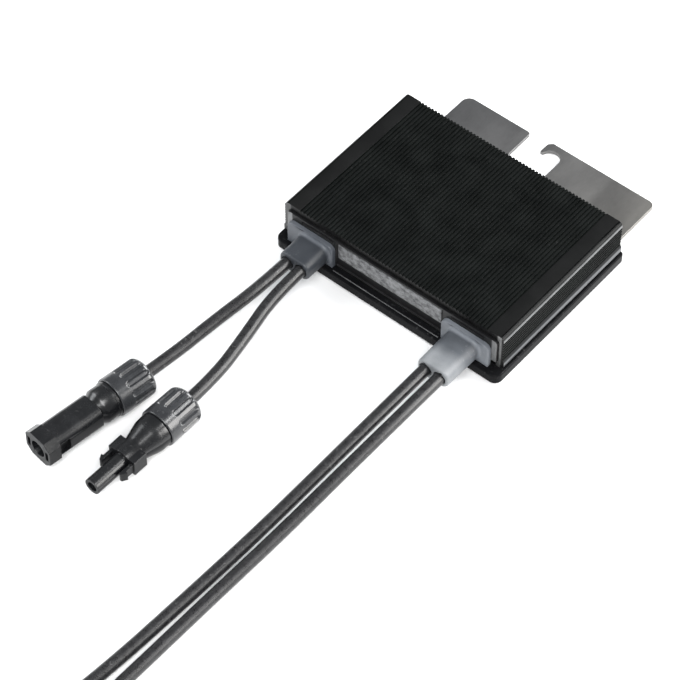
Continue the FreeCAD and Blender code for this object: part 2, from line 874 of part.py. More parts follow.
# Connectors, each along +Y of its own frame from the nut's rear face at the origin
def sealing_nut(label):
    body = new_body(label)
    outer = nut_width / 2
    hole = lead_radius + lead_gap
    bore = neck_width / 2 + neck_gap
    sketch = new_sketch(body, "nut_section", "XY_Plane")
    outline(sketch, [(hole, 0), (outer, 0), (outer, nut_length), (bore, nut_length), (bore, nut_wall),
                     (hole, nut_wall)])
    turned = body.newObject("PartDesign::Revolution", "nut_turned")
    turned.Profile = sketch
    turned.ReferenceAxis = (sketch, ["V_Axis"])
    turned.Angle = 360
    rear = lambda e: (near(e.CenterOfMass.y, 0) and e.Curve.TypeId == "Part::GeomCircle"
                      and near(e.Curve.Radius, outer))
    soften(body, rear, nut_round, "rear_round")
    grip = new_sketch(body, "grip_section", "XY_Plane", outer - grip_deep)
    rectangle(grip, -grip_width / 2, grip_width / 2, nut_round, nut_length - grip_end)
    cut = pocket(body, grip, 2 * grip_deep, "grip_cut", back=True)
    ring = body.newObject("PartDesign::PolarPattern", "grips")
    ring.Originals = [cut]
    ring.Axis = (origin_item(body, "Y_Axis"), [""])
    ring.Angle = 360
    bind(ring, "Occurrences", nut_grooves)
    body.Tip = ring
    doc.recompute()
    return body


def lead_seal(label):
    """The rubber ring that the nut presses round the lead."""
    body = new_body(label)
    sketch = new_sketch(body, "seal_section", "XY_Plane")
    low = nut_wall + seal_gap
    rectangle(sketch, lead_radius + lead_gap, neck_width / 2, low, low + seal_length)
    turned = body.newObject("PartDesign::Revolution", "seal_turned")
    turned.Profile = sketch
    turned.ReferenceAxis = (sketch, ["V_Axis"])
    turned.Angle = 360
    return body


def turned_core(body, stations, name):
    """A solid of revolution about the connector's axis from pairs of place and width."""
    sketch = new_sketch(body, name, "XY_Plane")
    points = [(0, stations[0][0])]
    for along, width in stations:
        points.append((as_size(width) / 2, along))
    points.append((0, stations[-1][0]))
    outline(sketch, points)
    turned = body.newObject("PartDesign::Revolution", f"{name}_turned")
    turned.Profile = sketch
    turned.ReferenceAxis = (sketch, ["V_Axis"])
    turned.Angle = 360
    return turned


def bored(body, start, width, depth, name):
    """A round hole from a place along the axis back towards the lead."""
    sketch = new_sketch(body, name, "XZ_Plane", -as_size(start))
    circle(sketch, 0, 0, width)
    return pocket(body, sketch, depth, f"{name}_cut", back=True)


neck_start = nut_wall + seal_length + 2 * seal_gap
collar_start = nut_length + collar_gap
collar_end = collar_start + collar_length
crimp_start = neck_start + jacket_depth


def inner_bores(body, start):
    """The narrow bore that holds the contact and the wide one that holds the lead's jacket."""
    bored(body, start, pin_width + 2 * pin_gap, start - crimp_start, "contact_bore")
    bored(body, crimp_start, lead_width + 2 * lead_gap, crimp_start - neck_start, "lead_bore")


def socket_housing(label):
    """The wide connector: a barrel with latch windows and a flared mouth."""
    body = new_body(label)
    shoulder_end = collar_end + shoulder_length
    barrel_start = shoulder_end + shoulder_slope
    turned_core(body, [(neck_start, neck_width), (collar_start, neck_width), (collar_start, collar_width),
                       (collar_end, collar_width), (collar_end, shoulder_width),
                       (shoulder_end, shoulder_width), (barrel_start, barrel_core)], "core")
    barrel = new_sketch(body, "barrel_section", "XZ_Plane", -barrel_start)
    rectangle(barrel, -barrel_width / 2, barrel_width / 2, -barrel_height / 2, barrel_height / 2)
    pad(body, barrel, plug_length - barrel_start, "barrel", back=True)
    edges = lambda e: (runs_along(e, "y") and near(abs(e.CenterOfMass.x), barrel_width / 2)
                       and near(abs(e.CenterOfMass.z), barrel_height / 2))
    soften(body, edges, barrel_round, "barrel_edges")
    mouth = new_sketch(body, "mouth_section", "XZ_Plane", -plug_length)
    side, top = mouth_width / 2, mouth_height / 2
    flat, rise = side - mouth_chamfer_across, top - mouth_chamfer_up
    outline(mouth, [(-flat, -top), (flat, -top), (side, -rise), (side, rise), (flat, top), (-flat, top),
                    (-side, rise), (-side, -rise)])
    pad(body, mouth, mouth_length, "mouth")
    mouth_start = plug_length - mouth_length
    window = new_sketch(body, "window_section", "XY_Plane", -window_height / 2)
    channel = new_sketch(body, "latch_channels", "XZ_Plane", -plug_length)
    channel_outer = latch_across + channel_width
    rectangle(window, latch_across, collar_width / 2, mouth_start - window_length, mouth_start)
    rectangle(window, -collar_width / 2, -latch_across, mouth_start - window_length, mouth_start)
    pocket(body, window, window_height, "window_cut", back=True)
    rectangle(channel, latch_across, channel_outer, -channel_height / 2, channel_height / 2)
    rectangle(channel, -channel_outer, -latch_across, -channel_height / 2, channel_height / 2)
    pocket(body, channel, mouth_length + fit_gap, "latch_channels_cut", back=True)
    bored(body, plug_length, socket_bore, socket_depth, "socket")
    inner_bores(body, plug_length - socket_depth)
    return body


def nose_housing(label):
    """The narrow connector: a cone, a block with two latch arms and a tube nose."""
    body = new_body(label)
    block_end = plug_length - nose_length
    cone_end = collar_end + cone_start + cone_length
    turned_core(body, [(neck_start, neck_width), (collar_start, neck_width), (collar_start, collar_width),
                       (collar_end, collar_width), (collar_end + cone_start, cone_width),
                       (cone_end, cone_tip), (block_end, cone_tip), (block_end, nose_width),
                       (plug_length, nose_width)], "core")
    block_start = cone_end - block_sunk
    block = new_sketch(body, "block_section", "XZ_Plane", -block_start)
    rectangle(block, -block_width / 2, block_width / 2, -block_height / 2, block_height / 2)
    pad(body, block, block_end - block_start, "block", back=True)
    arms = new_sketch(body, "arm_section", "XY_Plane", -arm_height / 2)
    outer = arm_across + arm_thick
    hook_start = block_end + arm_length - arm_hook_length
    for side in (-1, 1):
        outline(arms, [(side * arm_across, block_end - arm_root), (side * outer, block_end - arm_root),
                       (side * outer, hook_start), (side * (outer + arm_hook), hook_start + arm_hook_slope),
                       (side * (arm_across + arm_tip), block_end + arm_length),
                       (side * arm_across, block_end + arm_length)])
    pad(body, arms, arm_height, "arms")
    bored(body, plug_length, nose_bore, nose_length + nose_bore_more, "nose_bore")
    inner_bores(body, plug_length - nose_length - nose_bore_more)
    return body


def contact_pin(label, reach, hollow):
    """The plated copper contact, crimped to the lead's core."""
    body = new_body(label)
    start = crimp_start + 2 * pin_gap
    sketch = new_sketch(body, "pin_section", "XZ_Plane", -start)
    circle(sketch, 0, 0, pin_width)
    pad(body, sketch, reach - start, "pin", back=True)
    if hollow:
        hole = new_sketch(body, "pin_hole", "XZ_Plane", -as_size(reach))
        circle(hole, 0, 0, nose_pin_bore)
        pocket(body, hole, nose_pin_depth, "pin_hole_cut", back=True)
    else:
        tip = lambda e: near(e.CenterOfMass.y, reach) and e.Curve.TypeId == "Part::GeomCircle"
        soften(body, tip, socket_pin_tip, "pin_tip", "PartDesign::Chamfer")
    return body


def connector(name, kind, place, turn):
    """All the pieces of one connector, laid at its place and turned about Z."""
    if kind == "socket":
        pieces = [socket_housing(f"{name}_housing"),
                  contact_pin(f"{name}_contact", plug_length - socket_pin_inset, False)]
    else:
        pieces = [nose_housing(f"{name}_housing"),
                  contact_pin(f"{name}_contact", plug_length - nose_pin_inset, True)]
    pieces += [sealing_nut(f"{name}_nut"), lead_seal(f"{name}_seal")]
    for piece in pieces:
        piece.Placement = FreeCAD.Placement(FreeCAD.Vector(*place),
                                            FreeCAD.Rotation(FreeCAD.Vector(0, 0, 1), turn))


# Leads: straight runs joined by arcs as large as the runs allow
def route_wire(points, label):
    """The path through the points, with each corner rounded by an arc."""
    corners = [FreeCAD.Vector(*p) for p in points]
    runs = [b.sub(a) for a, b in zip(corners, corners[1:])]
    edges = []
    last = corners[0]
    radii = []
    for i in range(1, len(corners) - 1):
        before = FreeCAD.Vector(runs[i - 1]).normalize()
        after = FreeCAD.Vector(runs[i]).normalize()
        turn = before.getAngle(after)
        reach = 0.45 * min(runs[i - 1].Length, runs[i].Length)
        radius = reach / math.tan(turn / 2)
        radii.append(round(radius, 1))
        start = corners[i] - before * reach
        end = corners[i] + after * reach
        inward = (after - before).normalize()
        middle = corners[i] + inward * (math.hypot(reach, radius) - radius)
        edges.append(Part.LineSegment(last, start).toShape())
        edges.append(Part.Arc(start, middle, end).toShape())
        last = end
    edges.append(Part.LineSegment(last, corners[-1]).toShape())
    print(label, "radii", radii)
    return Part.Wire(edges)


def lead_tube(label, points, trim=None):
    """A round lead along a route, cut off where it enters another solid."""
    wire = route_wire(points, label)
    first = wire.Edges[0]
    start = first.Vertexes[0].Point
    along = first.tangentAt(first.FirstParameter)
    section = Part.Wire(Part.makeCircle(lead_radius.value, start, along))
    tube = wire.makePipeShell([section], True, False)
    wanted = math.pi * lead_radius.value ** 2 * wire.Length
    print(label, "length", round(wire.Length, 1), "volume share", round(tube.Volume / wanted, 5))
    if abs(tube.Volume / wanted - 1) > 0.01:
        raise ValueError(f"{label}: the tube's volume is wrong")
    if trim is not None:
        tube = max(tube.cut(trim).Solids, key=lambda solid: solid.Volume)
    lead = doc.addObject("Part::Feature", label)
    lead.Shape = tube
    return labelled(lead, label)


def coil_solid(label, x, y):
    """The outer shape of three turns, two on the floor side by side and one on top."""
    inner = coil_inner.value
    width = lead_width.value
    low = coil_lift.value
    shoulder = low + width * coil_shoulder.value
    top = low + width + coil_step.value
    section = [(inner, low), (inner + 2 * width, low), (inner + 2 * width, shoulder),
               (inner + 1.5 * width, top), (inner + 0.5 * width, top), (inner, shoulder)]
    points = [FreeCAD.Vector(radius, 0, high) for radius, high in section]
    face = Part.Face(Part.makePolygon(points + points[:1]))
    ring = face.revolve(FreeCAD.Vector(), FreeCAD.Vector(0, 0, 1), 360)
    ring.translate(FreeCAD.Vector(x, y, 0))
    coil = doc.addObject("Part::Feature", label)
    coil.Shape = Part.makeSolid(ring) if ring.ShapeType != "Solid" else ring
    labelled(coil, label)
    return coil.Shape


def coil_tie(label, x, y, ring):
    """A strap wrapped round the coil's section at a point of its middle circle."""
    half = lead_width.value + tie_wall.value
    low = coil_lift.value - tie_wall.value
    high = coil_lift.value + lead_width.value + coil_step.value + tie_wall.value
    strap = Part.makeBox(2 * half, tie_width.value, high - low)
    strap.translate(FreeCAD.Vector(x - half, y - tie_width.value / 2, low))
    edges = [edge for edge in strap.Edges if runs_along(edge, "y") and edge.CenterOfMass.z > high - 0.1]
    strap = strap.makeFillet(tie_round.value, edges)
    tie = doc.addObject("Part::Feature", label)
    tie.Shape = strap.cut(ring)
    return labelled(tie, label)


input_exit = float(flange_face - boot_short)
output_exit = float(boot_face)
exit_high = lead_high.value
half_pitch = lead_pitch.value / 2
seat = lead_seat.value
plug_high = nut_width.value / 2 + 0.05
floor_high = lead_radius.value + 0.2
inside = crimp_start.value
straight = 16.0


def beyond(place, turn, along):
    """A point along the axis of a connector laid at a place and turned about Z."""
    angle = math.radians(turn)
    return (place[0] - along * math.sin(angle), place[1] + along * math.cos(angle), place[2])


# Input leads: two short leads to a socket connector and a nose connector
socket_place, socket_turn = (-55.0, -153.4, plug_high), 172.2
nose_place, nose_turn = (-30.5, -152.8, plug_high), 178.9
left_x = left_gland.value - half_pitch
right_x = left_gland.value + half_pitch
lead_tube("input_lead_1", [
    (left_x, input_exit + seat, exit_high), (left_x, input_exit - 18.0, exit_high),
    (-50.2, -111.0, 11.3),
    beyond(socket_place, socket_turn, -straight), beyond(socket_place, socket_turn, inside)])
lead_tube("input_lead_2", [
    (right_x, input_exit + seat, exit_high), (right_x, input_exit - 18.0, exit_high),
    (-33.9, -111.0, 11.5),
    beyond(nose_place, nose_turn, -straight), beyond(nose_place, nose_turn, inside)])
connector("input_socket", "socket", socket_place, socket_turn)
connector("input_nose", "nose", nose_place, nose_turn)

# Output leads: two long leads that run side by side, each to a coil with its connector beyond. Each
# lead joins the outer turn on the floor and leaves from the turn on top.
outer_turn = coil_inner.value + 1.5 * lead_width.value
top_turn = coil_inner.value + lead_width.value
coil_high = coil_lift.value + lead_radius.value
top_high = coil_high + coil_step.value
cross_high = coil_high + lead_width.value + 0.5
coil_y_place = -385.0
gland_x = [right_gland.value - half_pitch, right_gland.value + half_pitch]
output_sides = [("nose", -12.0, 1), ("socket", 72.0, -1)]
free_points = [
    [(38.4, -136.0, 10.2), (36.4, -180.0, 5.4), (34.2, -222.0, floor_high), (32.2, -276.0, floor_high),
     (26.0, -328.0, floor_high)],
    [(45.9, -134.0, 10.3), (43.9, -178.0, 5.5), (41.9, -220.0, floor_high), (41.2, -274.0, floor_high),
     (39.6, -328.0, floor_high)]]
for number, (kind, middle, side) in enumerate(output_sides, 1):
    gland_lead = gland_x[number - 1]
    ring = coil_solid(f"output_coil_{number}", middle, coil_y_place)
    route = [(gland_lead, output_exit + seat, exit_high), (gland_lead, output_exit - 20.0, exit_high)]
    route += free_points[number - 1]
    route.append((middle + side * outer_turn, coil_y_place + 14.0, coil_high))
    lead_tube(f"output_lead_{number}", route, ring)
    tail_x = middle + side * top_turn
    place = (tail_x, coil_y_place - 46.0, plug_high)
    lead_tube(f"output_tail_{number}", [
        (tail_x, coil_y_place, top_high), (tail_x + side * 0.1, coil_y_place - 14.0, cross_high),
        beyond(place, 180.0, -straight), beyond(place, 180.0, inside)], ring)
    coil_tie(f"coil_tie_{number}", middle - side * top_turn, coil_y_place, ring)
    connector(f"output_{kind}", kind, place, 180.0)

inductor_winding()
doc.recompute()

# Every object is checked before anything is written
for thing in doc.Objects:
    if "Invalid" in thing.State or "Error" in thing.State:
        raise ValueError(f"{thing.Name} failed: {thing.State}")
for thing in finished:
    if thing.Shape.isNull() or not thing.Shape.isValid() or not thing.Shape.Solids:
        raise ValueError(f"{thing.Label} has no valid solid")
for thing in finished:
    thing.Shape.exportStep(f"parts/{thing.Label}.step")
print(len(finished), "sub-parts written")
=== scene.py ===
"""A power optimizer: ribbed black housing on a steel bracket, with four leads and their connectors.

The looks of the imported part, in the part's own frame: +X along the cable side, +Y from the cable side
to the bracket's slot, +Z up, and the floor at the bracket's underside. The camera, lights and floor
are sized in metres, the part's own pieces in millimetres, which MM turns into metres.
"""
import math

import bmesh
import bpy
import numpy as np
from mathutils import Matrix, Vector


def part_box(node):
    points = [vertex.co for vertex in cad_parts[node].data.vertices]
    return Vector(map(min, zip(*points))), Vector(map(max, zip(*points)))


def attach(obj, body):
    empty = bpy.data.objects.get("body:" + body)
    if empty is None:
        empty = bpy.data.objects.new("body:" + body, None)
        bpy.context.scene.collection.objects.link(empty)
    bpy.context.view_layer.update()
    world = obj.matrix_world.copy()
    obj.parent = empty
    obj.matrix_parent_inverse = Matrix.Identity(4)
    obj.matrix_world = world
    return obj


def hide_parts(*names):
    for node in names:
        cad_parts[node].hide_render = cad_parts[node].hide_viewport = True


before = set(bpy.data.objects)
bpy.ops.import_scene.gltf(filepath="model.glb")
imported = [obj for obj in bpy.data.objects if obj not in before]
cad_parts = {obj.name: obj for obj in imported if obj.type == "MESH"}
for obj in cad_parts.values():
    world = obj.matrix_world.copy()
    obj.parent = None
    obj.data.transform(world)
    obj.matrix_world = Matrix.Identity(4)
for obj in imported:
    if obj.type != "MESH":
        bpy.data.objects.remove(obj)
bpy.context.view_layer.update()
MM = 0.001

# Camera
# The photograph looks at the unit from its front right, a little over halfway up, through a long
# lens, so that edges that are parallel on the unit stay nearly parallel in the picture.
CAMERA_PLACE = (0.52669, -0.71954, 1.05035)
CAMERA_RIGHT = (0.76902, 0.63923, 0.0)
CAMERA_UP = (-0.50065, 0.60231, 0.62175)
CAMERA_BACK = (0.39744, -0.47814, 0.78322)
FOCAL_PIXELS = 3000.0
PICTURE_PIXELS = 680.0
SENSOR_MM = 36.0

lens = bpy.data.cameras.new("photo_camera")
lens.sensor_width = SENSOR_MM
lens.lens = SENSOR_MM * FOCAL_PIXELS / PICTURE_PIXELS
camera = bpy.data.objects.new("photo_camera", lens)
axes = Matrix((CAMERA_RIGHT, CAMERA_UP, CAMERA_BACK)).transposed().to_4x4()
camera.matrix_world = Matrix.Translation(CAMERA_PLACE) @ axes
bpy.context.scene.collection.objects.link(camera)
bpy.context.scene.camera = camera

# Studio
# A plain white floor under an even white surround. A large soft light stands over the viewer's
# shoulder. One on the right draws the bright line along the cover's edge, one behind the unit lights
# the nuts' shoulders, one above and behind the round parts' tops, and a weak one the far sides.
FLOOR_SIDE = 8.0
FLOOR_DROP = 0.0002
FLOOR_COLOUR = (0.94, 0.94, 0.94, 1.0)
FLOOR_ROUGHNESS = 0.9
FLOOR_SPECULAR = 0.1
SURROUND = (0.95, 0.97, 1.0, 1.0)
SURROUND_STRENGTH = 0.34
# Each light's place, the side of its square in metres, its power in watts and its tint.
SOFT_LIGHTS = {
    "over_shoulder": ((0.75, -1.25, 1.90), 1.30, 58.0, (1.0, 1.0, 1.0)),
    "back_right": ((1.06, 0.66, 0.52), 0.80, 20.0, (1.0, 0.985, 0.96)),
    "behind": ((0.10, 1.65, 0.44), 0.95, 40.0, (0.98, 0.99, 1.0)),
    "above": ((0.86, 0.78, 1.42), 0.42, 9.0, (1.0, 1.0, 1.0)),
    "left": ((-1.30, -0.55, 0.90), 0.80, 12.0, (0.95, 0.98, 1.0)),
}

half_floor = FLOOR_SIDE / 2
floor_corners = [(x * half_floor, y * half_floor, -FLOOR_DROP)
                 for x, y in ((-1, -1), (1, -1), (1, 1), (-1, 1))]
floor_mesh = bpy.data.meshes.new("floor")
floor_mesh.from_pydata(floor_corners, [], [(0, 1, 2, 3)])
floor = bpy.data.objects.new("floor", floor_mesh)
bpy.context.scene.collection.objects.link(floor)
floor_paint = bpy.data.materials.new("white_floor")
floor_paint.use_nodes = True
floor_shader = floor_paint.node_tree.nodes["Principled BSDF"]
floor_shader.inputs["Base Color"].default_value = FLOOR_COLOUR
floor_shader.inputs["Roughness"].default_value = FLOOR_ROUGHNESS
floor_shader.inputs["Specular IOR Level"].default_value = FLOOR_SPECULAR
floor_mesh.materials.append(floor_paint)

surround = bpy.data.worlds.new("surround")
surround.use_nodes = True
surround.node_tree.nodes["Background"].inputs["Color"].default_value = SURROUND
surround.node_tree.nodes["Background"].inputs["Strength"].default_value = SURROUND_STRENGTH
bpy.context.scene.world = surround
bpy.context.scene.view_settings.view_transform = "Standard"

for light_name, (place, side, power, tint) in SOFT_LIGHTS.items():
    light = bpy.data.lights.new(light_name, "AREA")
    light.shape = "SQUARE"
    light.size = side
    light.energy = power
    light.color = tint
    lamp = bpy.data.objects.new(light_name, light)
    lamp.location = place
    lamp.rotation_euler = (-Vector(place)).to_track_quat("-Z", "Y").to_euler()
    bpy.context.scene.collection.objects.link(lamp)

# Leads
# Four round copper leads, 6 mm wide, in a black cross-linked jacket with a soft sheen and light scuffs.
# Two short ones leave the left gland; two long ones leave the right gland and end in rings.
LEAD_WIDTH = 6.0
LEAD_ROUND_STEPS = 6
LEAD_RUN_STEPS = 10
EXIT_HIGH = 13.9
PLUG_HIGH = 9.55
INPUT_ROUTES = {
    "input_lead_1": [(-46.05, -61.7, EXIT_HIGH), (-46.05, -85.7, EXIT_HIGH), (-50.2, -111.0, 11.3),
                     (-52.83, -137.55, PLUG_HIGH), (-56.55, -164.69, PLUG_HIGH)],
    "input_lead_2": [(-38.35, -61.7, EXIT_HIGH), (-38.35, -85.7, EXIT_HIGH), (-33.9, -111.0, 11.5),
                     (-30.19, -136.8, PLUG_HIGH), (-30.72, -164.2, PLUG_HIGH)],
}
OUTPUT_ROUTES = {
    "output_lead_1": [(39.95, -69.5, EXIT_HIGH), (39.95, -95.5, EXIT_HIGH), (38.4, -136.0, 10.2),
                      (36.4, -180.0, 5.4), (34.2, -222.0, 3.2), (32.2, -276.0, 3.2), (26.0, -328.0, 3.2),
                      (22.0, -371.0, 4.0)],
    "output_lead_2": [(47.65, -69.5, EXIT_HIGH), (47.65, -95.5, EXIT_HIGH), (45.9, -134.0, 10.3),
                      (43.9, -178.0, 5.5), (41.9, -220.0, 3.2), (41.2, -274.0, 3.2), (39.6, -328.0, 3.2),
                      (38.0, -371.0, 4.0)],
}
# Each ring's middle, and the side on which its lead comes in.
RING_CENTRES = {"output_lead_1": (-12.0, -385.0, 1.0), "output_lead_2": (72.0, -385.0, -1.0)}
RING_RADII = (34.0, 28.0, 31.0)
RING_HEIGHTS = (4.0, 4.0, 9.3)
RING_STEPS = 24
RING_SHIFT = 0.2
# Taken off each count of turns, so that the end of a turn still belongs to it.
TURN_SLACK = 1e-9
TAIL_RUN = ((-400.0, 10.5), (-415.0, PLUG_HIGH + 0.1), (-442.4, PLUG_HIGH))
BROAD_DETAIL = 3.0
FINE_DETAIL = 2.0
BUMP_DEPTH = 0.0001
SPECK_DETAIL = 4.0
SPECK_SCALE = 700.0
SPECK_LEVELS = (0.60, 0.74)
PATCH_DETAIL = 2.0
PATCH_SCALE = 45.0
PATCH_LEVELS = (0.42, 0.62)
VALUE, VECTOR, COLOUR = "NodeSocketFloat", "NodeSocketVector", "NodeSocketColor"
ACROSS, ALONG, UPWARD = (1, 0, 0), (0, 1, 0), (0, 0, 1)


def effect_group(name, inputs, outputs):
    """An empty shader group with named inputs and outputs, each a label and its kind of socket."""
    group = bpy.data.node_groups.new(name, "ShaderNodeTree")
    for way, sockets in (("INPUT", inputs), ("OUTPUT", outputs)):
        for label, kind in sockets.items():
            group.interface.new_socket(name=label, in_out=way, socket_type=kind)
    return group, group.nodes.new("NodeGroupInput"), group.nodes.new("NodeGroupOutput")


def grain_group():
    """Two noises in Object coordinates, stretched by a vector: a broad one for blotches, a fine one
    for grain, and the normal of a shallow bump made by the fine one."""
    group, given, wanted = effect_group(
        "surface_grain", {"Stretch": VECTOR, "Broad Scale": VALUE, "Fine Scale": VALUE, "Bump": VALUE},
        {"Broad": VALUE, "Fine": VALUE, "Normal": VECTOR})
    nodes, links = group.nodes, group.links
    place = nodes.new("ShaderNodeTexCoord")
    stretch = nodes.new("ShaderNodeVectorMath")
    stretch.operation = "MULTIPLY"
    links.new(place.outputs["Object"], stretch.inputs[0])
    links.new(given.outputs["Stretch"], stretch.inputs[1])
    broad, fine = nodes.new("ShaderNodeTexNoise"), nodes.new("ShaderNodeTexNoise")
    broad.inputs["Detail"].default_value = BROAD_DETAIL
    fine.inputs["Detail"].default_value = FINE_DETAIL
    for noise, scale in ((broad, "Broad Scale"), (fine, "Fine Scale")):
        links.new(stretch.outputs[0], noise.inputs["Vector"])
        links.new(given.outputs[scale], noise.inputs["Scale"])
    bump = nodes.new("ShaderNodeBump")
    bump.inputs["Distance"].default_value = BUMP_DEPTH
    links.new(given.outputs["Bump"], bump.inputs["Strength"])
    links.new(fine.outputs["Fac"], bump.inputs["Height"])
    links.new(broad.outputs["Fac"], wanted.inputs["Broad"])
    links.new(fine.outputs["Fac"], wanted.inputs["Fine"])
    links.new(bump.outputs["Normal"], wanted.inputs["Normal"])
    return group


def dust_group():
    """Pale specks and short scuffs: a mask that is high where a small-celled noise passes a level, and
    only inside the patches of a broad noise. Each mask rises from 0 to 1 between its two levels."""
    group, given, wanted = effect_group(
        "dust_and_scuffs", {"Colour": COLOUR, "Dust": COLOUR, "Amount": VALUE}, {"Colour": COLOUR})
    nodes, links = group.nodes, group.links
    place = nodes.new("ShaderNodeTexCoord")
    specks, patches = (SPECK_SCALE, SPECK_DETAIL, SPECK_LEVELS), (PATCH_SCALE, PATCH_DETAIL, PATCH_LEVELS)
    masks = []
    for scale, detail, levels in (specks, patches):
        noise, mask = nodes.new("ShaderNodeTexNoise"), nodes.new("ShaderNodeMapRange")
        noise.inputs["Scale"].default_value, noise.inputs["Detail"].default_value = scale, detail
        mask.inputs["From Min"].default_value, mask.inputs["From Max"].default_value = levels
        links.new(place.outputs["Object"], noise.inputs["Vector"])
        links.new(noise.outputs["Fac"], mask.inputs["Value"])
        masks.append(mask)
    both, share = nodes.new("ShaderNodeMath"), nodes.new("ShaderNodeMath")
    both.operation = share.operation = "MULTIPLY"
    links.new(masks[0].outputs["Result"], both.inputs[0])
    links.new(masks[1].outputs["Result"], both.inputs[1])
    links.new(both.outputs[0], share.inputs[0])
    links.new(given.outputs["Amount"], share.inputs[1])
    mix = nodes.new("ShaderNodeMix")
    mix.data_type = "RGBA"
    links.new(share.outputs[0], mix.inputs["Factor"])
    links.new(given.outputs["Colour"], mix.inputs["A"])
    links.new(given.outputs["Dust"], mix.inputs["B"])
    links.new(mix.outputs["Result"], wanted.inputs["Colour"])
    return group


def tone_group():
    """The place along an axis as a share: the Object coordinate on that axis, less its start, over the
    distance from start to end, kept between 0 and 1."""
    group, given, wanted = effect_group(
        "tone_along", {"Axis": VECTOR, "From": VALUE, "To": VALUE}, {"Share": VALUE})
    nodes, links = group.nodes, group.links
    place = nodes.new("ShaderNodeTexCoord")
    along = nodes.new("ShaderNodeVectorMath")
    along.operation = "DOT_PRODUCT"
    links.new(place.outputs["Object"], along.inputs[0])
    links.new(given.outputs["Axis"], along.inputs[1])
    share = nodes.new("ShaderNodeMapRange")
    links.new(along.outputs["Value"], share.inputs["Value"])
    links.new(given.outputs["From"], share.inputs["From Min"])
    links.new(given.outputs["To"], share.inputs["From Max"])
    links.new(share.outputs["Result"], wanted.inputs["Share"])
    return group


GRAIN, DUST, TONE = grain_group(), dust_group(), tone_group()


def grey(value):
    """A colour without a tint."""
    return (value, value, value)


def toned(tree, colour, axis, stops):
    """The colour times a tone that runs along an axis through stops of a place in mm and a tint."""
    first, last = stops[0][0], stops[-1][0]
    share = tree.nodes.new("ShaderNodeGroup")
    share.node_tree = TONE
    share.inputs["Axis"].default_value = axis
    share.inputs["From"].default_value, share.inputs["To"].default_value = first * MM, last * MM
    ramp = tree.nodes.new("ShaderNodeValToRGB")
    while len(ramp.color_ramp.elements) < len(stops):
        ramp.color_ramp.elements.new(0.5)
    for element, (place, tint) in zip(ramp.color_ramp.elements, stops):
        element.position = (place - first) / (last - first)
        element.color = (*tint, 1.0)
    both = tree.nodes.new("ShaderNodeMix")
    both.data_type, both.blend_type = "RGBA", "MULTIPLY"
    both.inputs["Factor"].default_value = 1.0
    tree.links.new(share.outputs["Share"], ramp.inputs["Fac"])
    tree.links.new(colour, both.inputs["A"])
    tree.links.new(ramp.outputs["Color"], both.inputs["B"])
    return both.outputs["Result"]


def finish(name, dark, light, rough, metallic=0.0, stretch=(1, 1, 1), broad=60.0, fine=1800.0, bump=0.1,
           spread=(0.35, 0.65), mix_fine=0.3, specular=0.5, coat=0.0, dust=0.0, dust_colour=0.2, tone=None):
    """A material whose colour runs from dark to light and whose roughness runs over a pair of values,
    both as a mix of the broad and the fine noise runs over its spread. A tone along an axis, as an axis
    and its stops, multiplies the colour where one is given, and a share of dust lies over it."""
    paint = bpy.data.materials.new(name)
    paint.use_nodes = True
    nodes, links = paint.node_tree.nodes, paint.node_tree.links
    shader = nodes["Principled BSDF"]
    shader.inputs["Metallic"].default_value = metallic
    shader.inputs["Specular IOR Level"].default_value = specular
    shader.inputs["Coat Weight"].default_value = coat
    grain = nodes.new("ShaderNodeGroup")
    grain.node_tree = GRAIN
    grain.inputs["Stretch"].default_value = stretch
    grain.inputs["Broad Scale"].default_value = broad
    grain.inputs["Fine Scale"].default_value = fine
    grain.inputs["Bump"].default_value = bump
    both = nodes.new("ShaderNodeMix")
    both.inputs["Factor"].default_value = mix_fine
    links.new(grain.outputs["Broad"], both.inputs["A"])
    links.new(grain.outputs["Fine"], both.inputs["B"])
    ramp = nodes.new("ShaderNodeValToRGB")
    for element, place, tint in zip(ramp.color_ramp.elements, spread, (dark, light)):
        element.position = place
        element.color = (*tint, 1.0)
    links.new(both.outputs["Result"], ramp.inputs["Fac"])
    colour = ramp.outputs["Color"]
    if tone is not None:
        colour = toned(paint.node_tree, colour, *tone)
    if dust:
        dusty = nodes.new("ShaderNodeGroup")
        dusty.node_tree = DUST
        dusty.inputs["Amount"].default_value = dust
        dusty.inputs["Dust"].default_value = (*grey(dust_colour), 1.0)
        links.new(colour, dusty.inputs["Colour"])
        colour = dusty.outputs["Colour"]
    links.new(colour, shader.inputs["Base Color"])
    change = nodes.new("ShaderNodeMapRange")
    change.inputs["From Min"].default_value, change.inputs["From Max"].default_value = spread
    change.inputs["To Min"].default_value, change.inputs["To Max"].default_value = rough
    links.new(both.outputs["Result"], change.inputs["Value"])
    links.new(change.outputs["Result"], shader.inputs["Roughness"])
    links.new(grain.outputs["Normal"], shader.inputs["Normal"])
    return paint


lead_jacket = finish("lead_jacket", dark=(0.005, 0.005, 0.0055), light=(0.032, 0.032, 0.034),
                     rough=(0.25, 0.42), broad=340.0, fine=2400.0, bump=0.35, spread=(0.36, 0.74),
                     mix_fine=0.68, dust=0.55, dust_colour=0.18)


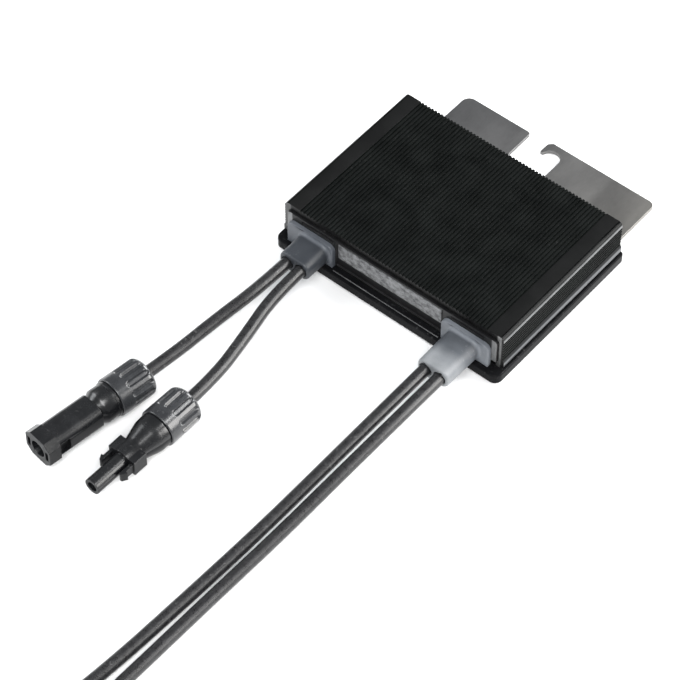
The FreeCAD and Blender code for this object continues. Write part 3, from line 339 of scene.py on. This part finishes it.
def ring_points(centre_x, centre_y, side):
    """Control points of three turns about a centre: an outer and an inner one on the floor and one on
    top of both. Over the last fifth of a turn its radius and height r become the next turn's R as
    r + (R - r)(3s^2 - 2s^3), with s from 0 to 1. A quadratic spline through points on a circle lies
    inside it, so the points lie further out by 2 over 1 + cos of half a step's angle."""
    turns = np.arange(1, len(RING_RADII) * RING_STEPS + 1) / RING_STEPS - TURN_SLACK
    now = turns.astype(int)
    after = np.minimum(now + 1, len(RING_RADII) - 1)
    share = np.clip((turns % 1.0 - (1.0 - RING_SHIFT)) / RING_SHIFT, 0.0, 1.0)
    ease = share * share * (3.0 - 2.0 * share)
    radii, heights = np.array(RING_RADII), np.array(RING_HEIGHTS)
    radius = radii[now] + (radii[after] - radii[now]) * ease
    height = heights[now] + (heights[after] - heights[now]) * ease
    radius = radius * 2.0 / (1.0 + math.cos(math.pi / RING_STEPS))
    angle = -2.0 * math.pi * turns
    x = centre_x + side * radius * np.cos(angle)
    y = centre_y + radius * np.sin(angle)
    return np.stack([x, y, height], axis=1)


def lead_piece(name, points, cad_nodes):
    """A round lead along one open quadratic spline whose control points are the route's points."""
    curve = bpy.data.curves.new(name, "CURVE")
    curve.dimensions = "3D"
    curve.bevel_depth = LEAD_WIDTH / 2 * MM
    curve.bevel_resolution = LEAD_ROUND_STEPS
    curve.resolution_u = curve.render_resolution_u = LEAD_RUN_STEPS
    curve.use_fill_caps = True
    spline = curve.splines.new("NURBS")
    spline.points.add(len(points) - 1)
    for point, place in zip(spline.points, points):
        point.co = (*(float(c) * MM for c in place), 1.0)
    spline.order_u = 3
    spline.use_endpoint_u = True
    lead = bpy.data.objects.new(name, curve)
    bpy.context.scene.collection.objects.link(lead)
    curve.materials.append(lead_jacket)
    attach(lead, "root")
    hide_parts(*cad_nodes)
    return lead


for name, route in INPUT_ROUTES.items():
    lead_piece(f"{name}_jacket", route, [name])
for number, (name, route) in enumerate(OUTPUT_ROUTES.items(), 1):
    centre_x, centre_y, side = RING_CENTRES[name]
    ring_start = (centre_x + side * RING_RADII[0], centre_y, RING_HEIGHTS[0])
    tail = [(centre_x + side * RING_RADII[-1], y, z) for y, z in TAIL_RUN]
    points = np.vstack([route, [ring_start], ring_points(centre_x, centre_y, side), tail])
    cad_nodes = [name, f"output_coil_{number}", f"output_tail_{number}"]
    lead_piece(f"{name}_jacket", points, cad_nodes)

# Mounting bracket
# One flat blank of satin stainless sheet, 2 mm thick, with rounded corners and a J-shaped slot for
# the bolt of the rail. Four countersunk screws from below hold it to the base.
SHARP_DEGREES = 35.0
FLAT_RADIANS = 0.002
COPY_WELD = 0.001
NEIGHBOUR_PAINT = -1
# A painted reflection across the sheet: darker on the left, lighter and warmer towards the right.
SHEET_REFLECTION_TONE = (ACROSS, [(-54.0, (0.80, 0.81, 0.83)), (-12.0, (0.92, 0.92, 0.93)), (30.0, (1.10, 1.09, 1.07)),
                       (56.0, (1.22, 1.19, 1.13))])


def dressed_copy(node, paints, edge, segments=2, choose=None):
    """A copy of a CAD node's mesh with its flat faces joined and its sharp edges rounded off. Where a
    test on the faces' middles and normals is given, it numbers each face's paint."""
    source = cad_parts[node]
    copy, mesh = source.copy(), source.data.copy()
    copy.data = mesh
    copy.name = f"{node}_dressed"
    bpy.context.scene.collection.objects.link(copy)
    work = bmesh.new()
    work.from_mesh(mesh)
    bmesh.ops.remove_doubles(work, verts=work.verts, dist=COPY_WELD * MM)
    bmesh.ops.dissolve_limit(work, angle_limit=FLAT_RADIANS, verts=work.verts, edges=work.edges)
    work.to_mesh(mesh)
    work.free()
    mesh.materials.clear()
    for paint in paints:
        mesh.materials.append(paint)
    if choose is not None:
        count = len(mesh.polygons)
        middles, normals = np.empty(count * 3), np.empty(count * 3)
        mesh.polygons.foreach_get("center", middles)
        mesh.polygons.foreach_get("normal", normals)
        chosen = choose(middles.reshape(-1, 3) / MM, normals.reshape(-1, 3))
        mesh.polygons.foreach_set("material_index", chosen.astype(np.int32))
    mesh.shade_smooth()
    mesh.set_sharp_from_angle(angle=math.radians(SHARP_DEGREES))
    rounding = copy.modifiers.new("edges", "BEVEL")
    rounding.width = edge * MM
    rounding.segments = segments
    rounding.limit_method = "ANGLE"
    rounding.angle_limit = math.radians(SHARP_DEGREES)
    rounding.use_clamp_overlap = True
    rounding.harden_normals = True
    rounding.material = NEIGHBOUR_PAINT
    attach(copy, "root")
    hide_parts(node)
    return copy


stainless = finish("satin_stainless", dark=(0.185, 0.184, 0.182), light=(0.240, 0.238, 0.234),
                   rough=(0.38, 0.50), metallic=1.0, stretch=(1, 0.35, 1), broad=40.0, fine=1100.0, bump=0.05,
                   mix_fine=0.15, spread=(0.36, 0.66), tone=SHEET_REFLECTION_TONE)
dressed_copy("mounting_bracket", [stainless], edge=0.25)

# Base plate
# A black coated aluminium tray with rounded front corners and a lip at the cable side, where a drip
# groove runs between the glands, its standing walls carrying a painted highlight. It closes the cover from
# below.
GROOVE_FROM, GROOVE_TO = -54.0, -51.0
STANDING = 0.7
black_coat = finish("black_coat", dark=(0.0035, 0.0037, 0.0042), light=(0.008, 0.0082, 0.009),
                    rough=(0.18, 0.28), broad=90.0, fine=2400.0, bump=0.06, specular=0.04, dust=0.15)
# A painted highlight: pale metallic paint on the groove's standing walls stands in for the light lines along
# them.
groove_highlight = finish("groove_highlight", dark=(0.24, 0.243, 0.248), light=(0.42, 0.423, 0.428), rough=(0.30, 0.42),
                   metallic=0.6, broad=200.0, fine=2200.0, bump=0.08)


def in_groove(middles, normals):
    """Paint 1 for the standing walls of the drip groove, which look mostly along Y, paint 0 for the rest."""
    within = (middles[:, 1] > GROOVE_FROM) & (middles[:, 1] < GROOVE_TO)
    return within & (np.abs(normals[:, 1]) > STANDING)


dressed_copy("base_plate", [black_coat, groove_highlight], edge=0.3, segments=3, choose=in_groove)

# Housing cover
# One black anodised aluminium extrusion with fine ribs along its top and flanks, flared feet and two
# inner flanges. Its rounded top edges and feet carry painted highlights, and its sawn ends are bare at the
# side walls, with painted shade over the top wall's end and the left wall's end.
RIBS_TO = 54.0
TOP_EDGE_FROM = 60.2
TOP_EDGE_LOW = 24.83
FLANK_FROM = 61.9
FLANK_TOP = 25.5
FOOT_FROM = 62.5
FOOT_TOP = 12.7
SIDE_WALL_FROM, SIDE_WALL_TO = 59.2, 61.5
TOP_WITHIN = 0.05
END_WITHIN = 0.01
TONE_STEP = 0.2
# The share of a normal on an axis from which a face counts as square to it, level, aslant or sideways.
SQUARE, LEVEL, ASLANT, SIDEWAYS = 0.99, 0.98, 0.02, 0.5
# The sawn ends are bare aluminium. Painted shade darkens the top wall's end nearly to black and the left
# wall's end to under half; the tone also falls dark at the right wall's outer edge.
SAWN_TONE_AND_SHADE = (ACROSS, [(-SIDE_WALL_FROM - TONE_STEP, grey(0.45)), (-SIDE_WALL_FROM, grey(0.05)),
                      (SIDE_WALL_FROM, grey(0.05)), (SIDE_WALL_FROM + TONE_STEP, grey(1.0)),
                      (SIDE_WALL_TO, grey(0.9)), (SIDE_WALL_TO + TONE_STEP, grey(0.08))])
# A painted highlight along the rounded top edges: bright low on the round, dark towards its top.
EDGE_HIGHLIGHT_TONE = (UPWARD, [(24.8, grey(1.2)), (26.1, grey(1.2)), (26.5, grey(0.10)), (27.8, grey(0.06))])
# A painted highlight on the feet: bright over their lower part, dark above.
FOOT_HIGHLIGHT_TONE = (UPWARD, [(8.7, grey(1.0)), (11.2, grey(1.0)), (11.7, grey(0.15)), (FOOT_TOP, grey(0.10))])
ANODISED_DARK, ANODISED_LIGHT = (0.0024, 0.0030, 0.0028), (0.0055, 0.0066, 0.0062)
anodised = finish("black_anodised", dark=ANODISED_DARK, light=ANODISED_LIGHT, rough=(0.30, 0.42), broad=70.0,
                  fine=3000.0, bump=0.1, specular=0.14, dust=0.10, dust_colour=0.10)
sawn_end = finish("sawn_end", dark=(0.11, 0.113, 0.115), light=(0.25, 0.252, 0.252), rough=(0.34, 0.5),
                  metallic=0.7, stretch=(1, 1, 0.2), broad=220.0, fine=2600.0, bump=0.15, tone=SAWN_TONE_AND_SHADE)
# A painted reflection: the smooth bands' colour runs a little lighter than the ribs' at its dark end.
smooth_band = finish("smooth_band", dark=(0.0040, 0.0042, 0.0042), light=(0.0062, 0.0065, 0.0065),
                     rough=(0.34, 0.44), broad=60.0, fine=3000.0, bump=0.08, specular=0.15)
edge_highlight = finish("edge_highlight", dark=(0.11, 0.113, 0.115), light=(0.16, 0.164, 0.166), rough=(0.24, 0.34),
                     metallic=1.0, broad=140.0, fine=2600.0, bump=0.04, tone=EDGE_HIGHLIGHT_TONE)
dark_flank = finish("dark_flank", dark=ANODISED_DARK, light=ANODISED_LIGHT, rough=(0.34, 0.46), broad=70.0,
                    fine=3000.0, bump=0.1, specular=0.02)
foot_highlight = finish("foot_highlight", dark=(0.11, 0.115, 0.122), light=(0.17, 0.176, 0.185), rough=(0.28, 0.38),
                     metallic=1.0, stretch=(1, 0.3, 1), broad=140.0, fine=2600.0, bump=0.04, tone=FOOT_HIGHLIGHT_TONE)
cover_paints = [anodised, sawn_end, smooth_band, edge_highlight, dark_flank, foot_highlight]
cover_low, cover_high = (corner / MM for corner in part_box("housing_cover"))


def cover_regions(middles, normals):
    """The number of each face's paint, by where its middle lies and by its normal's share on an axis:
    1 the sawn ends, 2 the smooth bands beside the ribs, 3 the rounded top edges, 4 the flanks above the
    feet, 5 the feet's outer faces, 0 the rest."""
    x, y, z = np.abs(middles[:, 0]), middles[:, 1], middles[:, 2]
    out, endwise, up = np.abs(normals[:, 0]), np.abs(normals[:, 1]), normals[:, 2]
    region = np.zeros(len(x), int)
    region[(x > RIBS_TO) & (up > SQUARE) & (z > cover_high.z - TOP_WITHIN)] = 2
    # The rounded top edges take the painted highlight.
    region[(x > TOP_EDGE_FROM) & (z > TOP_EDGE_LOW) & (up < LEVEL) & (out > ASLANT)] = 3
    region[(x > FLANK_FROM) & (z > FOOT_TOP) & (z < FLANK_TOP) & (region == 0)] = 4
    # The feet's outer faces take the painted highlight.
    region[(x > FOOT_FROM) & (z < FOOT_TOP + TONE_STEP) & (out > SIDEWAYS)] = 5
    at_end = np.minimum(np.abs(y - cover_low.y), np.abs(y - cover_high.y)) < END_WITHIN
    region[at_end & (endwise > SQUARE)] = 1
    return region


dressed_copy("housing_cover", cover_paints, edge=0.12, choose=cover_regions)

# End caps and label plate
# Matt black moulded caps close the extrusion's ends; the front cap's rim face is pale metallic at its
# sides and dark across the middle. A bare satin aluminium strip lies in the front cap's recess between the
# glands.
CAP_RIM_FROM = 57.2
RIM_TONE = (ACROSS, [(-CAP_RIM_FROM - TONE_STEP, grey(1.0)), (-CAP_RIM_FROM, grey(0.06)),
                     (CAP_RIM_FROM, grey(0.06)), (CAP_RIM_FROM + TONE_STEP, grey(1.0))])
moulded = finish("black_moulding", dark=(0.0040, 0.0040, 0.0045), light=(0.008, 0.008, 0.0085),
                 rough=(0.28, 0.42), broad=80.0, fine=2600.0, bump=0.08, specular=0.30, dust=0.2)
pale_side_rim = finish("pale_side_rim", dark=(0.09, 0.092, 0.094), light=(0.22, 0.222, 0.225), rough=(0.32, 0.45),
                    metallic=0.4, stretch=(1, 1, 0.3), broad=200.0, fine=2200.0, bump=0.1, tone=RIM_TONE)
bare_strip = finish("bare_strip", dark=(0.060, 0.062, 0.065), light=(0.26, 0.265, 0.27), rough=(0.28, 0.45),
                    metallic=0.55, stretch=(0.8, 1, 1.0), broad=520.0, fine=1500.0, bump=0.06,
                    spread=(0.36, 0.62))
rim_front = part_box("front_cap")[0].y / MM


def on_rim_face(middles, normals):
    """Paint 1 for the front cap's rim face, which looks at the cable side, paint 0 for the rest."""
    return (normals[:, 1] < -SQUARE) & (middles[:, 1] < rim_front + END_WITHIN)


dressed_copy("front_cap", [moulded, pale_side_rim], edge=0.3, segments=3, choose=on_rim_face)
dressed_copy("rear_cap", [moulded], edge=0.3, segments=3)
dressed_copy("label_plate", [bare_strip], edge=0.15)

# Cable glands
# Two blue-grey rubber mouldings. A flange lies against the front cap, and a boot with a hollow foot
# grips two leads, each in its own round mouth. A plug behind the flange fills the cap's hole.
# Flange, boot and plug are given as half their width and half their height.
FLANGE = (13.3, 6.7)
FLANGE_HIGH = 13.7
FLANGE_TOP_CORNER = 3.2
FLANGE_LOW_CORNER = 0.4
LEAST_CORNER = 0.05
FLANGE_THICK = 2.2
FLANGE_ROUND = 0.5
BOOT = (8.7, 5.4)
BOOT_CORNER = 4.4
BOOT_FOOT = 1.4
BOOT_END_ROUND = 1.1
BOOT_TAPER = 0.25
PLUG = (7.7, 4.4)
PLUG_CORNER = 0.4
PLUG_DEPTH = 5.4
PLUG_POINT = 0.01
MOUTH_RADIUS = 3.45
MOUTH_DEPTH = 1.8
LEAD_PITCH = 7.7
CORNER_STEPS = 11
EDGE_STEPS = 7
GRID_WELD = 0.0001
# Where the middles of each gland's boot and flange lie across the unit.
GLANDS = {"input_gland": (-42.2, -45.2), "output_gland": (43.8, 43.8)}
FOOT_AT, FLANGE_AT, PLUG_AT = -55.4, -54.2, -44.0
SLATE, DIM, PALE = (0.30, 0.31, 0.33), (0.52, 0.53, 0.56), (0.82, 0.83, 0.85)
# Painted light and shade along each gland: the boot darker at its foot by the flange as painted shade, the
# output boot's end lighter as a painted highlight, and the input gland darker all over than the output as
# painted shade.
RUBBER_LIGHT_AND_SHADE = {
    "input_gland": [(-68.0, (0.17, 0.18, 0.20)), (FOOT_AT, (0.14, 0.15, 0.17)), (FLANGE_AT, DIM),
                    (PLUG_AT, DIM)],
    "output_gland": [(-76.0, (1.40, 1.36, 1.30)), (-68.5, (1.20, 1.18, 1.15)), (-62.5, (0.46, 0.47, 0.49)),
                     (FOOT_AT, SLATE), (FLANGE_AT, PALE), (PLUG_AT, PALE)],
}


def section_ring(half, top_corner, low_corner, middle, along):
    """A closed ring in the plane of X and Z: four quarter circles about the corner centres, joined by
    straight sides, from the middle of the top clockwise to the middle of the foot and back."""
    sweep = np.linspace(0.0, np.pi / 2, CORNER_STEPS)
    corners = ((1, 1, top_corner, np.pi / 2 - sweep), (1, -1, low_corner, -sweep),
               (-1, -1, low_corner, -np.pi / 2 - sweep), (-1, 1, top_corner, np.pi - sweep))
    arcs = []
    for x_side, z_side, radius, angle in corners:
        arcs.append(np.stack([x_side * (half[0] - radius) + radius * np.cos(angle),
                              z_side * (half[1] - radius) + radius * np.sin(angle)], axis=1))
    ring = np.vstack([[(0.0, half[1])], arcs[0], arcs[1], [(0.0, -half[1])], arcs[2], arcs[3]])
    return np.stack([ring[:, 0] + middle[0], np.full(len(ring), along), ring[:, 1] + middle[1]], axis=1)


def grid_faces(rows, columns, start, closed):
    """The four-sided faces between neighbours of a grid whose numbers run on from a start."""
    across = columns if closed else columns - 1
    row, column = np.meshgrid(np.arange(rows - 1), np.arange(across), indexing="ij")
    after = (column + 1) % columns
    corners = np.stack([row * columns + column, row * columns + after, (row + 1) * columns + after,
                        (row + 1) * columns + column], axis=-1)
    return corners.reshape(-1, 4) + start


def welded_piece(name, grids, paint, nodes, extra=()):
    """A closed piece welded from grids of points in millimetres, each an array of rows by columns by 3
    with a flag that says whether its columns close round."""
    points = [grid.reshape(-1, 3) for grid, _ in grids]
    starts = np.cumsum([0] + [len(p) for p in points])[:-1]
    faces = [grid_faces(*grid.shape[:2], start, closed) for (grid, closed), start in zip(grids, starts)]
    mesh = bpy.data.meshes.new(name)
    mesh.from_pydata(np.vstack(points) * MM, [], np.vstack(faces).tolist() + [list(face) for face in extra])
    work = bmesh.new()
    work.from_mesh(mesh)
    bmesh.ops.remove_doubles(work, verts=work.verts, dist=GRID_WELD * MM)
    bmesh.ops.dissolve_degenerate(work, edges=work.edges, dist=GRID_WELD * MM)
    bmesh.ops.recalc_face_normals(work, faces=work.faces)
    work.to_mesh(mesh)
    work.free()
    mesh.materials.append(paint)
    mesh.shade_smooth()
    mesh.set_sharp_from_angle(angle=math.radians(SHARP_DEGREES))
    piece = bpy.data.objects.new(name, mesh)
    bpy.context.scene.collection.objects.link(piece)
    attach(piece, "root")
    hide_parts(*nodes)
    return piece


def gland_grids(boot_x, flange_x, rear, front):
    """The gland as rings along Y: the plug's end, its root, the flange with a rounded front edge, the
    boot's foot as a hollow quarter circle, the boot, its rounded end, and two round mouths. At an angle
    a, an edge rounded by r takes r(1 - cos a) off the half widths and lies r(1 - sin a) behind its front,
    and the hollow foot of radius r adds r(1 - sin a) to them and lies r(1 - cos a) before the flange."""
    quarter = np.linspace(0.0, np.pi / 2, EDGE_STEPS)
    face = rear - PLUG_DEPTH
    flange_front = face - FLANGE_THICK
    flange_at = (flange_x, FLANGE_HIGH)
    boot_at = (boot_x, EXIT_HIGH)
    rings = [section_ring((PLUG_POINT, PLUG_POINT), PLUG_POINT / 2, PLUG_POINT / 2, boot_at, rear),
             section_ring(PLUG, PLUG_CORNER, PLUG_CORNER, boot_at, rear),
             section_ring(PLUG, PLUG_CORNER, PLUG_CORNER, boot_at, face),
             section_ring(FLANGE, FLANGE_TOP_CORNER, FLANGE_LOW_CORNER, flange_at, face)]
    for turn in quarter:
        off = FLANGE_ROUND * (1 - math.cos(turn))
        half = (FLANGE[0] - off, FLANGE[1] - off)
        low_corner = max(FLANGE_LOW_CORNER - off, LEAST_CORNER)
        along = flange_front + FLANGE_ROUND * (1 - math.sin(turn))
        rings.append(section_ring(half, FLANGE_TOP_CORNER - off, low_corner, flange_at, along))
    for turn in quarter:
        grow = BOOT_FOOT * (1 - math.sin(turn))
        half = (BOOT[0] + grow, BOOT[1] + grow)
        along = flange_front - BOOT_FOOT * (1 - math.cos(turn))
        rings.append(section_ring(half, BOOT_CORNER + grow, BOOT_CORNER + grow, boot_at, along))
    for turn in quarter:
        off = BOOT_TAPER + BOOT_END_ROUND * (1 - math.cos(turn))
        half = (BOOT[0] - off, BOOT[1] - off)
        along = front + BOOT_END_ROUND * (1 - math.sin(turn))
        rings.append(section_ring(half, BOOT_CORNER - off, BOOT_CORNER - off, boot_at, along))
    rim = rings[-1]
    half_count = len(rim) // 2
    step = 2 * np.pi * np.arange(half_count) / half_count
    mouths, pockets = [], []
    for side, angle in ((1, np.pi - step), (-1, -step)):
        centre = boot_x + side * LEAD_PITCH / 2
        mouth = np.stack([centre + MOUTH_RADIUS * np.cos(angle), np.full(half_count, front),
                          EXIT_HIGH + MOUTH_RADIUS * np.sin(angle)], axis=1)
        deep = mouth + np.array([0.0, MOUTH_DEPTH, 0.0])
        bottom = np.tile([centre, front + MOUTH_DEPTH, EXIT_HIGH], (half_count, 1))
        mouths.append(mouth)
        pockets.append((np.stack([mouth, deep, bottom]), True))
    grids = [(np.stack(rings), True), (np.stack([rim, np.vstack(mouths)]), True)] + pockets
    first = len(rings) * len(rim) + len(rim)
    bridge = [first, first + 2 * half_count - 1, first + half_count, first + half_count - 1]
    return grids, [bridge]


for name, (boot_x, flange_x) in GLANDS.items():
    low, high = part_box(name)
    grids, bridge = gland_grids(boot_x, flange_x, high.y / MM, low.y / MM)
    rubber = finish(f"{name}_rubber", dark=(0.125, 0.136, 0.150), light=(0.205, 0.219, 0.236),
                    rough=(0.38, 0.52), broad=55.0, fine=2600.0, bump=0.12, spread=(0.38, 0.64),
                    mix_fine=0.12, dust=0.2, dust_colour=0.35, tone=(ALONG, RUBBER_LIGHT_AND_SHADE[name]))
    welded_piece(f"{name}_moulding", grids, rubber, [name], bridge)

# Connectors
# Round plug-in connectors moulded in black plastic: a nut with long grip hollows over a rubber ring,
# and a housing with a wide mouth or a tube nose round a plated contact. The housing's faces that look
# up are glossy, the others duller.
NUT_RADIUS = 9.5
NUT_LENGTH = 19.6
NUT_BORE = 7.2
NUT_WALL = 2.2
NUT_ROUND = 3.2
NUT_FRONT_ROUND = 0.5
LEAD_HOLE = 3.05
GRIPS = 12
GRIP_HALF_WIDTH = 1.65
GRIP_FROM, GRIP_TO = 1.6, 13.8
GRIP_DEPTH = 1.15
GRIP_SLOPE = 0.8
NUT_COLUMNS = 288
NUT_STEP = 0.35
NUT_EDGE_STEPS = 10
BORE_CLEAR = 0.5
UPRIGHT = 0.2
# The middle of each nut's rear face, and the connector's turn about Z in degrees.
PLUGS = {
    "input_socket": ((-55.0, -153.4, PLUG_HIGH), 172.2),
    "input_nose": ((-30.5, -152.8, PLUG_HIGH), 178.9),
    "output_nose": ((19.0, -431.0, PLUG_HIGH), 180.0),
    "output_socket": ((41.0, -431.0, PLUG_HIGH), 180.0),
}
PLUG_DARK, PLUG_LIGHT = (0.0035, 0.0038, 0.0045), (0.008, 0.0085, 0.0095)


def on_axis(along, radius, angle, place, turn):
    """Points about the axis of a connector laid at a place and turned about Z: the place, plus a run
    along the axis, plus a radius turned by an angle from the axis's right side upwards."""
    heading = math.radians(turn)
    axis = np.array([-math.sin(heading), math.cos(heading), 0.0])
    right = np.array([math.cos(heading), math.sin(heading), 0.0])
    up = np.array([0.0, 0.0, 1.0])
    outward = np.cos(angle)[..., None] * right + np.sin(angle)[..., None] * up
    return np.array(place) + along[..., None] * axis + radius[..., None] * outward


def nut_grid(place, turn):
    """A closed profile turned about the axis: bore, rear face, rounded shoulder, body and front edge.
    The body's radius loses the grip depth where a point lies within half a width of a grip's middle
    line. These lines lie along the axis, evenly round the nut. Over the slope at a hollow's edge the
    depth fades as 3s^2 - 2s^3, with s from 0 to 1."""
    quarter = np.linspace(0.0, np.pi / 2, NUT_EDGE_STEPS)
    body = np.arange(NUT_ROUND + NUT_STEP, NUT_LENGTH - NUT_FRONT_ROUND, NUT_STEP)
    along = np.concatenate([
        [NUT_WALL, 0.0], NUT_ROUND * (1 - np.cos(quarter)), body,
        NUT_LENGTH - NUT_FRONT_ROUND * (1 - np.sin(quarter)), [NUT_LENGTH, NUT_WALL, NUT_WALL]])
    radius = np.concatenate([
        [LEAD_HOLE, LEAD_HOLE], NUT_RADIUS - NUT_ROUND * (1 - np.sin(quarter)),
        np.full(len(body), NUT_RADIUS), NUT_RADIUS - NUT_FRONT_ROUND * (1 - np.cos(quarter)),
        [NUT_BORE, NUT_BORE, LEAD_HOLE]])
    angle = 2 * np.pi * np.arange(NUT_COLUMNS) / NUT_COLUMNS
    along, angle = np.meshgrid(along, angle, indexing="ij")
    radius = np.repeat(radius[:, None], NUT_COLUMNS, axis=1)
    period = 2 * np.pi / GRIPS
    across = (np.mod(angle + period / 2, period) - period / 2) * NUT_RADIUS
    half_line = (GRIP_TO - GRIP_FROM) / 2 - GRIP_HALF_WIDTH
    beyond = np.maximum(np.abs(along - (GRIP_FROM + GRIP_TO) / 2) - half_line, 0.0)
    inside = np.clip((GRIP_HALF_WIDTH - np.hypot(across, beyond)) / GRIP_SLOPE, 0.0, 1.0)
    hollow = inside * inside * (3 - 2 * inside)
    outer = radius > NUT_BORE + BORE_CLEAR
    return on_axis(along, radius - GRIP_DEPTH * hollow * outer, angle, place, turn)


def off_the_top(middles, normals):
    """Paint 1 for the faces that look sideways or down, paint 0 for those that look up or nearly so."""
    return normals[:, 2] < UPRIGHT


plug_tops = finish("connector_plastic", dark=PLUG_DARK, light=PLUG_LIGHT, rough=(0.20, 0.30), broad=120.0,
                   fine=2600.0, bump=0.08, specular=0.6, dust=0.15, dust_colour=0.16)
plug_sides = finish("connector_sides", dark=PLUG_DARK, light=PLUG_LIGHT, rough=(0.30, 0.40), broad=120.0,
                    fine=2600.0, bump=0.08, specular=0.16)
nut_plastic = finish("nut_plastic", dark=(0.016, 0.017, 0.019), light=(0.034, 0.036, 0.039),
                     rough=(0.20, 0.30), broad=120.0, fine=2600.0, bump=0.08, specular=0.75, dust=0.2,
                     dust_colour=0.22)
for plug, (place, turn) in PLUGS.items():
    housing = dressed_copy(f"{plug}_housing", [plug_tops, plug_sides], edge=0.3,
                           segments=3, choose=off_the_top)
    nut = welded_piece(f"{plug}_nut_moulding", [(nut_grid(place, turn), True)], nut_plastic,
                       [f"{plug}_nut"])

# Screws
# Countersunk stainless screws with a hexagon socket, flush with the underside that they enter. Four
# hold the bracket to the base, four the base to the cover.
HEAD_RADIUS = 2.7
HEAD_DEEP = 1.2
EDGE_BREAK = 0.12
HEAD_RIM = 0.1
SHANK_RADIUS = 1.5
TIP_CHAMFER = 0.15
SOCKET_ACROSS = 2.0
SOCKET_DEEP = 1.0
SOCKET_MOUTH = 1.08
SCREW_COLUMNS = 48
# The distance of each kind of screw from the middle line, and its two places along the unit.
SCREW_PLACES = {"bracket_screws": (40.0, (-30.0, 24.0)), "base_screws": (57.95, (-35.5, 23.5))}


def screw_grid(x, y, low, high):
    """A closed profile turned about a standing axis: socket floor, six-sided socket wall with a wider
    mouth, flat head, cone and shank. The socket's radius at an angle is half its width over the cosine
    of the angle from the nearest side's middle."""
    angle = 2 * np.pi * np.arange(SCREW_COLUMNS) / SCREW_COLUMNS
    sixth = np.pi / 3
    socket = SOCKET_ACROSS / 2 / np.cos(np.mod(angle, sixth) - sixth / 2)
    round_radii = [HEAD_RADIUS - EDGE_BREAK, HEAD_RADIUS, SHANK_RADIUS, SHANK_RADIUS - TIP_CHAMFER, 0.0]
    radii = np.vstack([0.0 * socket, socket, socket, socket * SOCKET_MOUTH]
                      + [np.full(SCREW_COLUMNS, radius) for radius in round_radii])
    heights = np.array([low + SOCKET_DEEP, low + SOCKET_DEEP, low + EDGE_BREAK, low, low, low + HEAD_RIM,
                        low + HEAD_DEEP, high, high])
    height = np.repeat(heights[:, None], SCREW_COLUMNS, axis=1)
    return np.stack([x + radii * np.cos(angle), y + radii * np.sin(angle), height], axis=-1)


screw_steel = finish("screw_steel", dark=(0.30, 0.30, 0.295), light=(0.44, 0.44, 0.43), rough=(0.28, 0.40),
                     metallic=1.0, broad=500.0, fine=3500.0, bump=0.05)
for name, (side, rows) in SCREW_PLACES.items():
    low, high = (corner.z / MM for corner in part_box(name))
    screws = [(screw_grid(x, y, low, high), True) for x in (-side, side) for y in rows]
    welded_piece(f"{name}_turned", screws, screw_steel, [name])

# Seals, contacts and ties
# A black rubber ring under each nut, a tin plated copper contact in each housing, and a black nylon
# strap round each ring of spare lead.
seal_rubber = finish("seal_rubber", dark=(0.010, 0.010, 0.010), light=(0.022, 0.022, 0.022),
                     rough=(0.5, 0.65), broad=300.0, bump=0.2)
plated = finish("plated_contact", dark=(0.48, 0.46, 0.42), light=(0.66, 0.64, 0.60), rough=(0.18, 0.30),
                metallic=1.0, broad=600.0, fine=3600.0, bump=0.05)
tie_nylon = finish("tie_nylon", dark=(0.010, 0.010, 0.011), light=(0.024, 0.024, 0.025), rough=(0.34, 0.48),
                   broad=160.0, fine=2200.0, bump=0.1, dust=0.2)


def painted(node, paint):
    """The node's own mesh with its finish in every slot."""
    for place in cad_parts[node].material_slots:
        place.material = paint


for plug in PLUGS:
    painted(f"{plug}_seal", seal_rubber)
    painted(f"{plug}_contact", plated)
ties = [dressed_copy(f"coil_tie_{number}", [tie_nylon], edge=0.35, segments=3)
        for number in (1, 2)]

# Circuit board and what it carries
# A green laminate board on brass spacers, with a ferrite ring wound in enamelled copper, yellow film
# capacitors, black transistors under an aluminium block, and tinned terminals. The cover hides them.
painted("circuit_board", finish("green_laminate", dark=(0.010, 0.060, 0.028), light=(0.020, 0.105, 0.048),
                                rough=(0.25, 0.38), broad=120.0))
painted("board_spacers", finish("brass", dark=(0.50, 0.36, 0.14), light=(0.62, 0.46, 0.20),
                                rough=(0.25, 0.36), metallic=1.0))
painted("board_screws", screw_steel)
painted("inductor_core", finish("ferrite", dark=(0.030, 0.030, 0.032), light=(0.060, 0.060, 0.064),
                                rough=(0.55, 0.7), broad=300.0))
painted("inductor_winding", finish("enamelled_copper", dark=(0.42, 0.15, 0.05), light=(0.60, 0.24, 0.09),
                                   rough=(0.22, 0.34), metallic=1.0, coat=0.4))
painted("film_capacitors", finish("yellow_case", dark=(0.42, 0.27, 0.05), light=(0.55, 0.36, 0.08),
                                  rough=(0.30, 0.42)))
painted("power_transistors", finish("black_epoxy", dark=(0.010, 0.010, 0.010), light=(0.020, 0.020, 0.020),
                                    rough=(0.42, 0.55)))
painted("heat_spreader", finish("milled_aluminium", dark=(0.50, 0.50, 0.51), light=(0.64, 0.64, 0.65),
                                rough=(0.28, 0.40), metallic=1.0, stretch=(0.2, 1, 1), fine=1400.0))
painted("thermal_pads", finish("gap_pad", dark=(0.30, 0.32, 0.36), light=(0.38, 0.40, 0.45),
                               rough=(0.60, 0.75)))
painted("terminal_blocks", finish("tinned_terminal", dark=(0.52, 0.52, 0.50), light=(0.66, 0.66, 0.64),
                                  rough=(0.25, 0.36), metallic=1.0))
painted("inner_leads", finish("bare_strands", dark=(0.48, 0.20, 0.09), light=(0.64, 0.30, 0.15),
                              rough=(0.30, 0.42), metallic=1.0, stretch=(1, 0.1, 1), fine=2400.0, bump=0.3))
